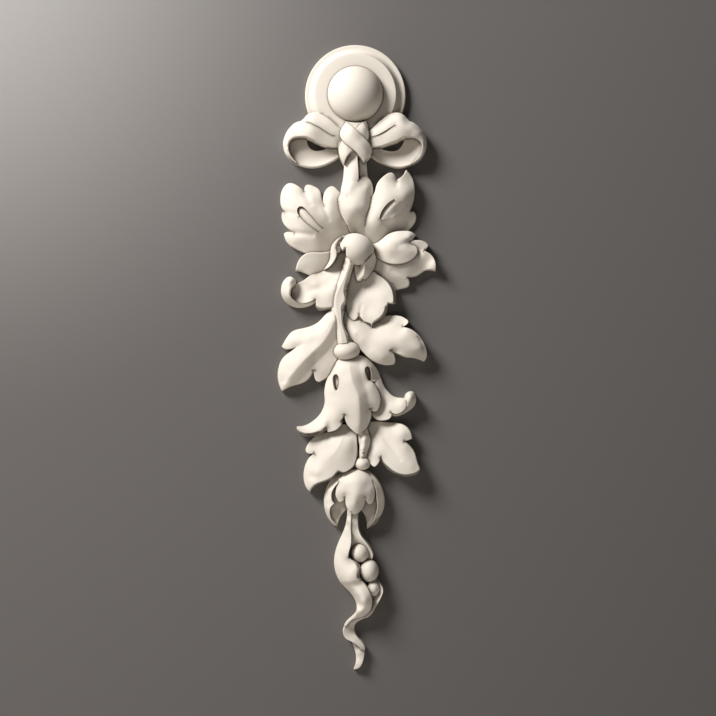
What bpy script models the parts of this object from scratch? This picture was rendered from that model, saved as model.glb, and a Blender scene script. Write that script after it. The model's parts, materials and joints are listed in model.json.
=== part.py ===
"""Ornamental drop moulding: a rosette and bow from which leaves, a bell flower,
a bud and a pea pod hang, cast in one piece of rigid polyurethane.

The wall is the plane y = 0 and the carving stands out towards -Y.  +Z is up and
the origin is on the flat back, behind the centre of the rosette.

Every carved form is laid over its neighbours as a relief: a lobed outline, a face
that rises from the rim height to its crests, and drafted walls down to the wall.
The forms are then united into one solid and cut off flat at the wall.
"""

import math

import bmesh
import bpy
import numpy as np
from mathutils import Vector
from mathutils.geometry import delaunay_2d_cdt

MM = 0.001
CORNER = "corner"

# Driving dimensions, in millimetres
EDGE_STEP = 4.1
FILL_STEP = 8.6
RIM_STEP = 9.0
RIM_CHAMFER = 0.9
WALL_DRAFT = math.tan(math.radians(3.0))
BEHIND_WALL = 1.0
ROOM_SHARE = 0.6
MERGE_ANGLE = math.radians(2)
ROSETTE_RADIUS = 40.0
ROSETTE_RIM_HEIGHT = 6.0
ROSETTE_DISC_RADIUS = 32.5
ROSETTE_DISC_HEIGHT = 11.5
ROSETTE_SIDES = 48
BOSS_RADIUS = 22.0
BOSS_TOP = 29.0
BALL_FOOT = 2.0
BALL_SIDES = 16
BALL_RINGS = 9
OPENING_BACK = 6.0
OPENING_FRONT = 16.0
OPENING_EASE = 0.3
SHARP_ANGLE = math.radians(40)

# The gaps through the bow's loops, as outlines on the wall, in millimetres
LEFT_OPENING = [
    (-39, -30.5, CORNER), (-38.5, -36), (-36.5, -41.5), (-33, -44), (-28, -44), (-23.5, -42.5),
    (-20.5, -39.5, CORNER), (-24, -34.5, CORNER), (-32, -30.5, CORNER),
]
RIGHT_OPENING = [
    (19, -41, CORNER), (22, -43), (25, -44), (29, -44.5), (32.5, -44), (35.5, -42),
    (37.5, -39), (39, -35), (39, -32, CORNER), (33, -31, CORNER), (26, -35, CORNER),
]


def clear_scene():
    for thing in list(bpy.data.objects):
        bpy.data.objects.remove(thing, do_unlink=True)


def cast_material():
    """Rigid polyurethane as it leaves the mould, primed off-white."""
    material = bpy.data.materials.new("primed polyurethane")
    material.use_nodes = True
    shader = material.node_tree.nodes["Principled BSDF"]
    shader.inputs["Base Color"].default_value = (0.82, 0.77, 0.68, 1.0)
    shader.inputs["Roughness"].default_value = 0.55
    shader.inputs["Metallic"].default_value = 0.0
    return material


def spline_run(points, step):
    """Points about one step apart on the natural cubic spline through the given points."""
    points = np.array(points, dtype=float)
    lengths = np.linalg.norm(np.diff(points, axis=0), axis=1)
    knots = np.concatenate(([0.0], np.cumsum(lengths)))
    count = len(points)
    system = np.eye(count)
    rates = np.zeros((count, 2))
    for i in range(1, count - 1):
        before, after = lengths[i - 1], lengths[i]
        system[i, i - 1:i + 2] = (before, 2 * (before + after), after)
        rates[i] = 6 * ((points[i + 1] - points[i]) / after - (points[i] - points[i - 1]) / before)
    bends = np.linalg.solve(system, rates)
    samples = max(1, int(round(knots[-1] / step)))
    along = np.linspace(0.0, knots[-1], samples + 1)
    part = np.clip(np.searchsorted(knots, along, side="right") - 1, 0, count - 2)
    width = lengths[part][:, None]
    ahead = (along - knots[part])[:, None]
    left = width - ahead
    return (
        bends[part] * left ** 3 / (6 * width)
        + bends[part + 1] * ahead ** 3 / (6 * width)
        + (points[part] / width - bends[part] * width / 6) * left
        + (points[part + 1] / width - bends[part + 1] * width / 6) * ahead
    )


def trace_outline(edge, step):
    """A closed outline, counter-clockwise: smooth between the points marked CORNER."""
    places = [point[:2] for point in edge]
    corners = [i for i, point in enumerate(edge) if len(point) > 2]
    turned = places[corners[0]:] + places[:corners[0]]
    marks = [corner - corners[0] for corner in corners] + [len(places)]
    turned.append(turned[0])
    runs = [spline_run(turned[a:b + 1], step)[:-1] for a, b in zip(marks, marks[1:])]
    outline = np.concatenate(runs)
    following = np.roll(outline, -1, axis=0)
    area = np.sum(outline[:, 0] * following[:, 1] - following[:, 0] * outline[:, 1])
    return outline if area > 0 else outline[::-1]


def outward_normals(outline):
    along = np.roll(outline, -1, axis=0) - np.roll(outline, 1, axis=0)
    normals = np.stack((along[:, 1], -along[:, 0]), axis=1)
    return normals / np.linalg.norm(normals, axis=1)[:, None]


def clear_reach(outline, normals):
    """How far each outline point can move along its normal before it meets the outline."""
    gap = outline[None, :, :] - outline[:, None, :]
    facing = np.einsum("ijk,ik->ij", gap, normals)
    square = np.sum(gap ** 2, axis=2)
    reach = np.where(facing > 1e-6, square / (2 * np.maximum(facing, 1e-6)), 1e3)
    return reach.min(axis=1)


def distance_to(line, points, closed):
    """Distance from each point to a line, and how far along the line (0 to 1) it is met."""
    line = np.array(line, dtype=float)
    starts = line if closed else line[:-1]
    ends = np.roll(line, -1, axis=0) if closed else line[1:]
    along = ends - starts
    lengths = np.linalg.norm(along, axis=1)
    offset = points[:, None, :] - starts[None, :, :]
    share = np.clip(np.einsum("ijk,jk->ij", offset, along) / lengths ** 2, 0.0, 1.0)
    apart = np.linalg.norm(offset - share[:, :, None] * along[None, :, :], axis=2)
    nearest = apart.argmin(axis=1)
    rows = np.arange(len(points))
    begun = np.concatenate(([0.0], np.cumsum(lengths)))[nearest]
    met = (begun + share[rows, nearest] * lengths[nearest]) / lengths.sum()
    return apart[rows, nearest], met


def inside_outline(outline, points):
    following = np.roll(outline, -1, axis=0)
    x, z = points[:, 0][:, None], points[:, 1][:, None]
    crosses = (outline[None, :, 1] > z) != (following[None, :, 1] > z)
    rise = following[:, 1] - outline[:, 1]
    rise = np.where(rise == 0, 1e-12, rise)
    at = (following[:, 0] - outline[:, 0]) * (z - outline[:, 1]) / rise + outline[:, 0]
    return np.sum(crosses & (x < at), axis=1) % 2 == 1


def sheet_through(spots):
    """The smooth sheet (thin-plate spline) whose height is known at the given spots."""
    spots = np.array(spots, dtype=float)
    places, heights = spots[:, :2], spots[:, 2]
    count = len(spots)

    def bend(points):
        square = np.sum((points[:, None, :] - places[None, :, :]) ** 2, axis=2)
        return square * np.log(square + 1e-9)

    system = np.zeros((count + 3, count + 3))
    system[:count, :count] = bend(places)
    system[:count, count] = 1.0
    system[:count, count + 1:] = places
    system[count:, :count] = system[:count, count:].T
    weights = np.linalg.solve(system, np.concatenate((heights, np.zeros(3))))

    def height(points):
        flat = weights[count] + points @ weights[count + 1:]
        return bend(points) @ weights[:count] + flat

    return height


def fill_points(outline, step, margin):
    """A triangular grid of points inside an outline, kept clear of its rim."""
    low, high = outline.min(axis=0), outline.max(axis=0)
    rows = []
    for row, z in enumerate(np.arange(low[1], high[1], step * math.sqrt(0.75))):
        xs = np.arange(low[0] + (row % 2) * step / 2, high[0], step)
        rows.append(np.stack((xs, np.full(len(xs), z)), axis=1))
    grid = np.concatenate(rows)
    grid = grid[inside_outline(outline, grid)]
    if len(grid):
        grid = grid[distance_to(outline, grid, True)[0] > margin]
    return grid


def triangulate(outline, others):
    points = np.concatenate((outline, others)) if len(others) else outline
    loop = list(range(len(outline)))
    result = delaunay_2d_cdt([Vector(point) for point in points], [], [loop], 1, 1e-6)
    places = np.array([tuple(point) for point in result[0]])
    return places, [tuple(face) for face in result[2]], result[3]


def height_with_creases(base, creases):
    """Adds soft grooves (or ridges, where the depth is negative) that fade at their ends."""

    def height(points):
        total = base(points)
        for line, depth, width in creases:
            apart, met = distance_to(line, points, False)
            fade = np.sqrt(np.clip(np.sin(np.pi * met), 0.0, 1.0))
            total = total - depth * fade * np.exp(-(apart / width) ** 2)
        return total

    return height


def dome_over(x, z, radius_x, radius_z, middle, top):
    """The front half of an egg whose widest section is at the height called middle."""

    def height(points):
        share = ((points[:, 0] - x) / radius_x) ** 2 + ((points[:, 1] - z) / radius_z) ** 2
        return middle + (top - middle) * np.sqrt(np.clip(1.0 - share, 0.0, 1.0))

    return height


def solid_from(name, points, faces):
    mesh = bpy.data.meshes.new(name)
    mesh.from_pydata([Vector(point) * MM for point in points], [], faces)
    solid = bpy.data.objects.new(name, mesh)
    bpy.context.scene.collection.objects.link(solid)
    return solid


def relief(name, edge, rim, crest, creases=(), dome=None):
    """One carved form: a lobed outline, a modelled face, and drafted walls to the wall."""
    outline = trace_outline(edge, EDGE_STEP)
    normals = outward_normals(outline)
    if dome:
        base = dome_over(*dome)
    else:
        stride = max(1, int(RIM_STEP / EDGE_STEP))
        spots = [(x, z, rim) for x, z in outline[::stride]]
        base = sheet_through(spots + list(crest))
    height = height_with_creases(base, creases)

    others = [fill_points(outline, FILL_STEP, FILL_STEP * 0.5)]
    roomy = clear_reach(outline, -normals) > 2 * RIM_CHAMFER
    others.append((outline - normals * RIM_CHAMFER)[roomy])
    for line, _, _ in creases:
        others.append(spline_run(line, FILL_STEP / 2))
    others = np.concatenate(others)
    others = others[inside_outline(outline, others)]
    others = others[distance_to(outline, others, True)[0] > RIM_CHAMFER * 0.5]
    places, faces, sources = triangulate(outline, others)

    count = len(outline)
    at_rim = {}
    for i, source in enumerate(sources):
        for j in source:
            if j < count:
                at_rim[j] = i
    heights = height(places)
    heights[[at_rim[j] for j in range(count)]] -= RIM_CHAMFER
    rim_heights = heights[[at_rim[j] for j in range(count)]]
    flare = (rim_heights + BEHIND_WALL) * WALL_DRAFT
    flare = np.minimum(flare, ROOM_SHARE * clear_reach(outline, normals))
    points = [(x, -h, z) for (x, z), h in zip(places, heights)]
    foot = len(points)
    points += [(x, BEHIND_WALL, z) for x, z in outline + normals * flare[:, None]]
    for j in range(count):
        k = (j + 1) % count
        faces.append((at_rim[k], at_rim[j], foot + j, foot + k))
    faces.append(tuple(reversed(range(foot, foot + count))))
    return solid_from(name, points, faces)


def turned(name, profile, sides):
    """A form turned about the Y axis from (radius, height) pairs, outermost first."""
    points = [(0.0, BEHIND_WALL, 0.0)]
    for radius, height in profile:
        for side in range(sides):
            angle = 2 * math.pi * side / sides
            points.append((radius * math.cos(angle), -height, radius * math.sin(angle)))
    points.append((0.0, -profile[-1][1], 0.0))
    faces = []
    last = len(points) - 1
    for side in range(sides):
        after = (side + 1) % sides
        faces.append((0, 1 + after, 1 + side))
        for ring in range(len(profile) - 1):
            a = 1 + ring * sides
            b = a + sides
            faces.append((a + side, a + after, b + after, b + side))
        top = 1 + (len(profile) - 1) * sides
        faces.append((last, top + side, top + after))
    return solid_from(name, points, faces)


def ball(name, x, z, radius_x, radius_z, middle, top, turn=0.0):
    """A bead whose widest section stands at the height called middle, with a drafted foot."""
    mesh = bpy.data.meshes.new(name)
    builder = bmesh.new()
    bmesh.ops.create_uvsphere(builder, u_segments=BALL_SIDES, v_segments=BALL_RINGS, radius=1.0)
    angle = math.radians(turn)
    for vertex in builder.verts:
        across = vertex.co.x * radius_x
        up = vertex.co.y * radius_z
        depth = top - middle if vertex.co.z > 0 else BALL_FOOT * middle
        vertex.co = Vector((
            x + across * math.cos(angle) - up * math.sin(angle),
            -middle - vertex.co.z * depth,
            z + across * math.sin(angle) + up * math.cos(angle),
        )) * MM
    builder.to_mesh(mesh)
    builder.free()
    solid = bpy.data.objects.new(name, mesh)
    bpy.context.scene.collection.objects.link(solid)
    return solid


def bow():
    """Two ribbon loops, each a hollow lower half with a pleated band across it."""
    return [
        relief(
            "left_bow_bowl",
            edge=[
                (-10, -42.5, CORNER), (-13.5, -49), (-16, -51.5), (-20, -53.5), (-26, -56),
                (-31.5, -57.5), (-37, -57.5), (-42.5, -56.5), (-47.5, -54.5), (-51.5, -51),
                (-54.5, -47.5), (-55.5, -44), (-55.5, -38.5), (-53.5, -34),
                (-48.5, -30, CORNER), (-36, -29), (-24, -34), (-10, -37, CORNER),
            ],
            rim=8.5,
            crest=[
                (-51, -41.5, 7.5), (-48.5, -45.5, 8), (-45.5, -49, 8), (-47, -37.5, 7.5),
                (-42.5, -36.5, 7), (-43, -42.5, 7.5), (-37.5, -40.5, 7), (-41, -46.5, 7.5),
                (-40, -51.5, 7.5), (-34.5, -48, 7), (-33.5, -53.5, 7.5), (-28, -46, 6.5),
                (-27.5, -52, 7), (-21.5, -43, 6.5), (-21, -48.5, 7), (-16, -43, 7),
                (-15.5, -47, 7.5),
            ],
        ),
        relief(
            "left_bow_band",
            edge=[
                (-9, -30, CORNER), (-11.5, -28.5), (-14.5, -26), (-17.5, -23), (-21.5, -20),
                (-25.5, -17), (-31, -15), (-34.5, -15.5), (-37.5, -16), (-38.5, -17),
                (-41, -19.5), (-43.5, -21.5, CORNER), (-48, -23), (-51.5, -26), (-54.5, -30),
                (-56.5, -34.5), (-57.5, -39.5), (-57, -43.5), (-55, -47), (-52, -51),
                (-48, -54, CORNER), (-46, -55, CORNER), (-48, -52.5), (-50.5, -49.5),
                (-52.5, -45.5), (-53, -41.5), (-52, -38.5), (-50, -36), (-46, -34.5),
                (-41.5, -34.5), (-36.5, -35.5), (-33.5, -37), (-28, -40), (-21.5, -41.5),
                (-16, -42.5), (-9, -42, CORNER),
            ],
            rim=14.5,
            crest=[
                (-35, -20, 17), (-28.5, -21.5, 18), (-22.5, -25.5, 18.5), (-16, -30.5, 18),
                (-50.5, -33.5, 17), (-49, -28, 15), (-45, -27.5, 16.5), (-40.5, -28, 18.5),
                (-36.5, -28, 20), (-33.5, -29.5, 20.5), (-29.5, -31.5, 20),
                (-24.5, -33.5, 18.5), (-20, -35.5, 17.5), (-15, -38.5, 16),
            ],
            creases=[
                ([(-40.5, -22.5), (-32, -25.5), (-25.5, -29), (-18.5, -33)], 1.3, 6.0),
            ],
        ),
        relief(
            "right_bow_bowl",
            edge=[
                (8.5, -42.5, CORNER), (13, -49), (16.5, -52), (21.5, -54), (27.5, -56.5),
                (34, -57.5), (40.5, -56.5), (46, -55), (50, -52), (53, -48), (54, -42.5),
                (54, -37), (52, -33.5), (47.5, -30.5, CORNER), (38, -30), (27.5, -33),
                (10, -37, CORNER),
            ],
            rim=9,
            crest=[
                (16.5, -38, 7), (16.5, -44.5, 7), (20.5, -48.5, 7), (24.5, -45, 6.5),
                (29, -46.5, 6.5), (34, -46, 6.5), (39, -42, 6.5), (41, -36.5, 6.5),
                (45, -34.5, 7.5), (46, -40.5, 7.5), (43.5, -45.5, 7), (49, -37.5, 9),
                (50, -42.5, 9.5), (47.5, -47.5, 9), (39.5, -50, 7.5), (34, -52, 7),
                (27.5, -52, 7), (23, -52.5, 7.5),
            ],
        ),
        relief(
            "right_bow_band",
            edge=[
                (7, -30, CORNER), (10, -30), (12.5, -28.5), (15.5, -25.5), (19, -22),
                (22.5, -19), (26.5, -16.5), (30.5, -15.5), (34.5, -15.5), (37.5, -16),
                (40.5, -19), (43, -21.5, CORNER), (45.5, -22.5), (49, -24.5), (52, -27.5),
                (55, -31.5), (56.5, -36), (57, -40), (56, -44), (54, -48), (50.5, -52),
                (46.5, -54.5, CORNER), (45, -55, CORNER), (46.5, -53), (49.5, -50),
                (51.5, -46.5), (52.5, -43), (52.5, -39.5), (50.5, -37), (48, -35), (44, -34.5),
                (39.5, -34.5), (36, -35.5), (32.5, -37.5), (28, -39), (22.5, -41), (18, -42),
                (7, -42, CORNER),
            ],
            rim=14,
            crest=[
                (11.5, -32.5, 15.5), (16.5, -30, 16.5), (21, -27, 17.5), (26.5, -23, 18),
                (32, -20, 18.5), (37, -20, 18), (32, -23.5, 19), (38.5, -23.5, 19),
                (44, -27, 18.5), (48, -28.5, 17), (38.5, -28, 20.5), (33.5, -30, 20),
                (28, -33, 19.5), (22.5, -35.5, 18), (16.5, -37.5, 16.5), (10, -37.5, 15),
            ],
            creases=[
                ([(12.5, -35), (21, -31.5), (28.5, -27.5)], 1.3, 6.0),
            ],
        ),
    ]


def knot():
    """The crossed bands that gather the bow."""
    return [
        relief(
            "knot_core",
            edge=[
                (-8, -22, CORNER), (-4, -23), (0.5, -23.5), (5.5, -23), (8.5, -22, CORNER),
                (10, -27), (11, -32.5), (11, -42), (8.5, -47.5, CORNER), (-7.5, -46.5, CORNER),
                (-12.5, -45), (-11, -31),
            ],
            rim=15.5,
            crest=[
                (0.5, -29, 18.5), (0, -39, 19),
            ],
        ),
        relief(
            "knot_right_band",
            edge=[
                (6, -23, CORNER), (9.5, -28), (10.5, -32), (10.5, -37.5, CORNER),
                (5.5, -41.5, CORNER), (-3.5, -33, CORNER),
            ],
            rim=19.5,
            crest=[
                (5.5, -33, 21),
            ],
        ),
        relief(
            "knot_left_band",
            edge=[
                (-10.5, -38, CORNER), (-13, -43), (-13.5, -48), (-12, -50),
                (-8.5, -56, CORNER), (-7, -51), (-0.5, -45, CORNER), (-2.5, -36, CORNER),
            ],
            rim=19,
            crest=[
                (-6.5, -43.5, 21.5),
            ],
        ),
        relief(
            "knot_front_band",
            edge=[
                (-7, -23.5, CORNER), (1, -30.5), (9, -38.5), (12.5, -43), (13, -47),
                (11.5, -48.5), (9, -51.5), (7, -55.5, CORNER), (3, -49.5), (-3, -44.5),
                (-10.5, -37.5), (-12, -33.5), (-10.5, -28.5),
            ],
            rim=22,
            crest=[
                (-5.5, -33.5, 25), (0.5, -37, 25.5), (4.5, -42.5, 25), (8.5, -48.5, 23),
            ],
        ),
    ]


def upper_stem():
    """The two ribbon ends that run down from the knot to the flower."""
    return [
        relief(
            "upper_stem",
            edge=[
                (-1.5, -44, CORNER), (-4, -46.5), (-7, -49.5), (-8.5, -53), (-9, -56.5),
                (-9, -61.5), (-10, -68), (-11, -73.5), (-12, -79.5, CORNER),
                (-11.5, -89, CORNER), (1.5, -89, CORNER), (2.5, -78), (3, -68), (2.5, -62),
                (2, -56.5), (2, -51), (2, -45.5, CORNER),
            ],
            rim=12,
            crest=[
                (-3, -54, 16.5), (-3.5, -61.5, 16.5), (-3.5, -68, 16.5), (-4, -74, 15.5),
                (-5, -79.5, 12),
            ],
        ),
        relief(
            "upper_stem_right",
            edge=[
                (3, -45.5, CORNER), (5.5, -48), (8, -52), (9, -57.5), (9.5, -65),
                (11.5, -77.5, CORNER), (3.5, -77.5, CORNER), (3.5, -61.5),
            ],
            rim=10.5,
            crest=[
                (6.5, -59, 12.5), (7, -66.5, 12),
            ],
        ),
    ]


def flower():
    """The spread leaves around the hanging bud."""
    return [
        relief(
            "upper_left_leaf",
            edge=[
                (-56, -93, CORNER), (-59, -89), (-60, -83.5), (-59, -78), (-57, -72.5),
                (-53.5, -70.5), (-49.5, -70.5), (-45.5, -72.5), (-42.5, -75),
                (-40.5, -77, CORNER), (-40.5, -74), (-39, -72), (-36, -71.5), (-32, -73.5),
                (-28.5, -76.5), (-27, -80.5), (-25.5, -86, CORNER), (-25.5, -81), (-23.5, -76),
                (-21, -73.5), (-18.5, -73), (-15, -75), (-11.5, -79, CORNER),
                (-2.5, -109, CORNER), (-10.5, -125, CORNER), (-20, -125.5), (-24, -126),
                (-32, -125.5), (-38, -126, CORNER), (-41, -125), (-45, -123.5), (-49.5, -121),
                (-53.5, -118), (-56, -113.5), (-57, -110, CORNER), (-53.5, -109),
                (-48, -109.5, CORNER), (-51.5, -107.5), (-55, -105), (-58, -101), (-59, -96),
                (-58.5, -93, CORNER),
            ],
            rim=7.5,
            crest=[
                (-50, -79, 11), (-52, -86.5, 11), (-43.5, -86.5, 14), (-50, -96.5, 11.5),
                (-43.5, -105, 14), (-48.5, -116.5, 9.5), (-40.5, -116, 12), (-36, -84.5, 14),
                (-32.5, -92.5, 15.5), (-26.5, -94.5, 15), (-21, -84.5, 14), (-21, -93, 15),
                (-32.5, -109.5, 13.5), (-29.5, -118, 10.5), (-20, -101.5, 13),
                (-11.5, -111.5, 6.5), (-21, -117.5, 5.5), (-14.5, -92, 13.5),
                (-12, -101.5, 11), (-11.5, -97, 12), (-8, -106, 6.5), (-17, -109, 9),
            ],
            creases=[
                ([(-27, -73), (-26, -81), (-25, -87.5), (-23, -93.5), (-20, -101.5)], 1.0, 1.8),
                ([(-63, -108), (-55, -109.5), (-48, -110), (-40.5, -111), (-32, -112.5)], 1.5, 2.2),
                ([(-42, -68), (-41, -73), (-40, -78), (-37.5, -83.5), (-34.5, -89.5)], 1.4, 2.4),
                ([(-63, -92), (-56, -93.5), (-50, -94.5), (-44.5, -97)], 0.9, 2.0),
                (
                    [(-25, -107), (-33, -98.5), (-40.5, -90.5), (-45, -90), (-45, -95.5),
                     (-39.5, -102), (-32, -108)],
                    3.4, 5.0,
                ),
            ],
        ),
        relief(
            "top_centre_leaf",
            edge=[
                (-5, -108, CORNER), (-5.5, -105), (-7.5, -101), (-10.5, -96.5), (-13.5, -91.5),
                (-14.5, -86.5), (-13.5, -82.5), (-12, -79.5, CORNER), (-11, -73.5), (-10, -68),
                (-9, -62.5, CORNER), (2, -63, CORNER), (3.5, -67.5, CORNER), (7, -65.5),
                (9.5, -66), (11.5, -68), (13.5, -71.5), (14, -76), (13.5, -81, CORNER),
                (13, -88), (11.5, -98.5), (11.5, -112.5, CORNER), (0.5, -112.5, CORNER),
            ],
            rim=12,
            crest=[
                (-8, -79, 15.5), (0.5, -75, 17), (-8.5, -85.5, 16), (-7.5, -91.5, 16.5),
                (-5, -82, 16.5), (-2.5, -87, 18), (5.5, -73.5, 16.5), (10.5, -74, 15.5),
                (2, -81.5, 18), (6, -77.5, 17), (-1, -91, 18.5), (3.5, -87, 18),
                (8.5, -83, 16.5), (8.5, -90, 16), (-3.5, -95, 16.5), (2, -95, 16.5),
                (7, -95.5, 14), (-3, -99.5, 13), (2, -99, 13), (-2, -104.5, 8.5), (3, -104, 9),
                (7, -101.5, 11), (3.5, -109, 5.5), (-3.5, -69.5, 16), (-4.5, -74.5, 17),
            ],
            creases=[
                ([(-8, -77), (-6.5, -80), (-5, -83.5)], 0.5, 1.1),
            ],
        ),
        relief(
            "upper_right_leaf",
            edge=[
                (2, -116, CORNER), (3.5, -101.5), (7, -89.5), (13.5, -81, CORNER), (15.5, -78),
                (17, -72), (20, -67.5), (24.5, -64.5), (28, -62.5), (30.5, -63.5),
                (31.5, -65.5), (32, -68.5, CORNER), (36, -66), (38.5, -63), (40, -60, CORNER),
                (44, -64), (46, -69.5), (47, -75.5), (46.5, -83), (43.5, -92.5, CORNER),
                (46, -92.5), (48, -94.5), (48.5, -97), (47, -102), (41.5, -108),
                (34.5, -112.5, CORNER), (24.5, -120.5), (15, -122, CORNER),
            ],
            rim=11,
            crest=[
                (8.5, -98.5, 11), (11.5, -101.5, 13.5), (11.5, -109, 8), (15.5, -95.5, 17),
                (20.5, -84.5, 17.5), (39.5, -71.5, 14), (44, -77, 13.5), (39.5, -81.5, 16.5),
                (32, -86.5, 18), (26, -92, 18.5), (19.5, -105, 14.5), (15, -108, 11),
                (23, -110, 9), (16.5, -115.5, 5.5), (29, -112, 5.5), (23.5, -74, 16),
                (33, -76.5, 16.5), (38.5, -99, 9), (34, -103.5, 7.5), (27.5, -104.5, 10),
                (22.5, -100.5, 16), (30.5, -98.5, 15), (38, -92, 13.5),
            ],
            creases=[
                ([(32.5, -61), (32.5, -67), (33, -75)], 1.0, 1.8),
                ([(19, -99.5), (26, -100), (34, -95), (41, -87.5)], -1.3, 1.9),
                ([(19, -100), (20, -96), (22.5, -91.5), (26, -87), (31, -83.5)], 4.0, 3.6),
            ],
        ),
        relief(
            "right_upper_lobe",
            edge=[
                (8.5, -118, CORNER), (15, -118.5), (19.5, -116.5), (25.5, -111.5),
                (31.5, -109), (38.5, -108.5), (44.5, -109), (48, -111.5, CORNER),
                (44, -117, CORNER), (48, -120.5), (49.5, -125.5), (46.5, -130), (41, -133.5),
                (33, -135), (26, -134.5), (20.5, -131.5), (8.5, -123.5, CORNER),
            ],
            rim=12,
            crest=[
                (20.5, -121.5, 13.5), (24.5, -117.5, 15.5), (27.5, -125, 17), (33, -120, 17.5),
                (34, -128, 16), (38.5, -116, 16), (27.5, -131, 14), (22.5, -128, 13.5),
                (43.5, -113.5, 14.5), (40, -123, 16.5), (44, -125, 15.5),
            ],
            creases=[
                ([(48, -116.5), (43.5, -117.5), (37.5, -119), (32, -121.5)], 0.8, 2.2),
            ],
        ),
        relief(
            "right_big_leaf",
            edge=[
                (31.5, -119.5, CORNER), (44, -116.5), (49.5, -116), (55.5, -117.5),
                (58, -119.5), (54.5, -124, CORNER), (59.5, -127), (63, -132), (64, -136.5),
                (64, -140, CORNER), (59.5, -139), (55, -139.5), (51, -142.5), (47, -144.5),
                (41.5, -144.5, CORNER), (43, -148), (42.5, -151.5), (39, -153.5),
                (31.5, -155.5, CORNER), (18, -153.5, CORNER), (13.5, -133, CORNER),
            ],
            rim=9,
            crest=[
                (54.5, -129, 11), (59.5, -132.5, 10), (61, -136.5, 11), (56, -137.5, 8),
                (34.5, -145, 9), (26, -142.5, 9.5), (18, -136, 9), (26, -150.5, 6.5),
                (38.5, -135, 11), (45, -130, 11.5), (49.5, -124.5, 11.5), (41, -136.5, 11),
                (48, -134.5, 10), (31.5, -138, 10.5), (24.5, -136.5, 10),
            ],
            creases=[
                ([(54.5, -124), (47.5, -125.5), (40, -128.5)], 1.6, 2.4),
                ([(41, -145), (34.5, -141), (27.5, -139)], 1.0, 2.2),
            ],
        ),
        relief(
            "small_left_leaf",
            edge=[
                (-17, -123.5, CORNER), (-26.5, -125.5), (-32, -125.5), (-38, -126),
                (-42.5, -128.5), (-45.5, -132), (-47, -136), (-47.5, -139.5, CORNER),
                (-44, -140), (-41, -141), (-37, -143), (-33, -143.5), (-28.5, -142),
                (-25, -139.5), (-21.5, -137, CORNER), (-14.5, -133, CORNER),
            ],
            rim=8,
            crest=[
                (-40.5, -134.5, 9.5), (-34.5, -131.5, 10.5), (-35, -138, 9), (-28, -133, 9),
                (-22.5, -132, 7),
            ],
        ),
    ]


def petals():
    """The two open petals under the bud."""
    return [
        relief(
            "lower_left_petal",
            edge=[
                (-7.5, -123, CORNER), (-15.5, -126, CORNER), (-19.5, -133), (-23, -138.5),
                (-33, -142), (-37, -144.5), (-41, -147.5), (-46.5, -150, CORNER),
                (-53.5, -155.5, CORNER), (-49.5, -163, CORNER), (-44, -165.5), (-37.5, -165.5),
                (-31.5, -162.5, CORNER), (-31, -166.5), (-31, -169.5), (-29.5, -170.5),
                (-25, -171), (-19, -170.5, CORNER), (-10.5, -163.5, CORNER),
            ],
            rim=8.5,
            crest=[
                (-11.5, -133, 4.5), (-14.5, -138.5, 7), (-32, -151.5, 10.5),
                (-41.5, -161, 8.5), (-33.5, -158.5, 11), (-25.5, -156, 12),
                (-17.5, -153, 13.5), (-26.5, -163.5, 13), (-20, -160, 14), (-25, -167.5, 13),
                (-19, -167.5, 13.5), (-12, -147.5, 12), (-13.5, -162, 14), (-47, -156, 6.5),
                (-39, -153.5, 8.5), (-45, -152, 7), (-20, -141.5, 8), (-17, -147.5, 10.5),
                (-24, -148, 10), (-20, -151.5, 11.5), (-28, -154, 10.5), (-33.5, -155.5, 9.5),
            ],
        ),
        relief(
            "petal_scroll",
            edge=[
                (-48, -151, CORNER), (-48, -148), (-48.5, -146), (-52, -144.5), (-55, -146),
                (-58, -149.5), (-59, -155), (-58.5, -160), (-56, -164), (-52, -167),
                (-47.5, -169), (-42, -169), (-37, -167.5), (-33.5, -165.5),
                (-31, -163.5, CORNER), (-35, -165), (-40, -166), (-44.5, -165.5),
                (-48.5, -163.5), (-51, -161), (-51.5, -158), (-51, -154.5),
            ],
            rim=9,
            crest=[
                (-51.5, -148, 15.5), (-54, -152.5, 14.5), (-54.5, -157, 14),
                (-53.5, -161.5, 12.5), (-50, -165, 10),
            ],
        ),
        relief(
            "lower_right_petal",
            edge=[
                (-6, -139.5, CORNER), (5.5, -136.5, CORNER), (12.5, -139.5), (17, -141.5),
                (23, -144), (28, -148), (31, -153), (32, -158.5), (32, -166, CORNER),
                (28.5, -166), (25.5, -165, CORNER), (25.5, -169), (24.5, -173), (21.5, -178),
                (17, -182), (13, -185, CORNER), (8.5, -183.5), (4.5, -180),
                (3.5, -175, CORNER), (2, -177.5), (-1.5, -179.5), (-5.5, -175.5), (-7, -168),
                (-7, -157),
            ],
            rim=11.5,
            crest=[
                (5.5, -139.5, 7.5), (29, -155.5, 14), (28.5, -163.5, 14), (23, -168, 14),
                (22, -172.5, 14), (18, -177.5, 14), (12.5, -181.5, 14), (8.5, -180, 13.5),
                (0, -147, 5.5), (-1, -159, 6.5), (5.5, -152, 6), (16.5, -173, 13),
                (8.5, -172, 11), (18, -150.5, 10.5), (23.5, -154.5, 13), (22, -161, 13),
                (11.5, -150.5, 8), (7.5, -161, 9.5), (3.5, -166.5, 10), (14, -167.5, 11.5),
                (16.5, -157.5, 11),
            ],
            creases=[
                ([(2.5, -182.5), (3, -177.5), (3.5, -172), (5.5, -166)], 0.9, 1.6),
            ],
        ),
    ]


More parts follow.
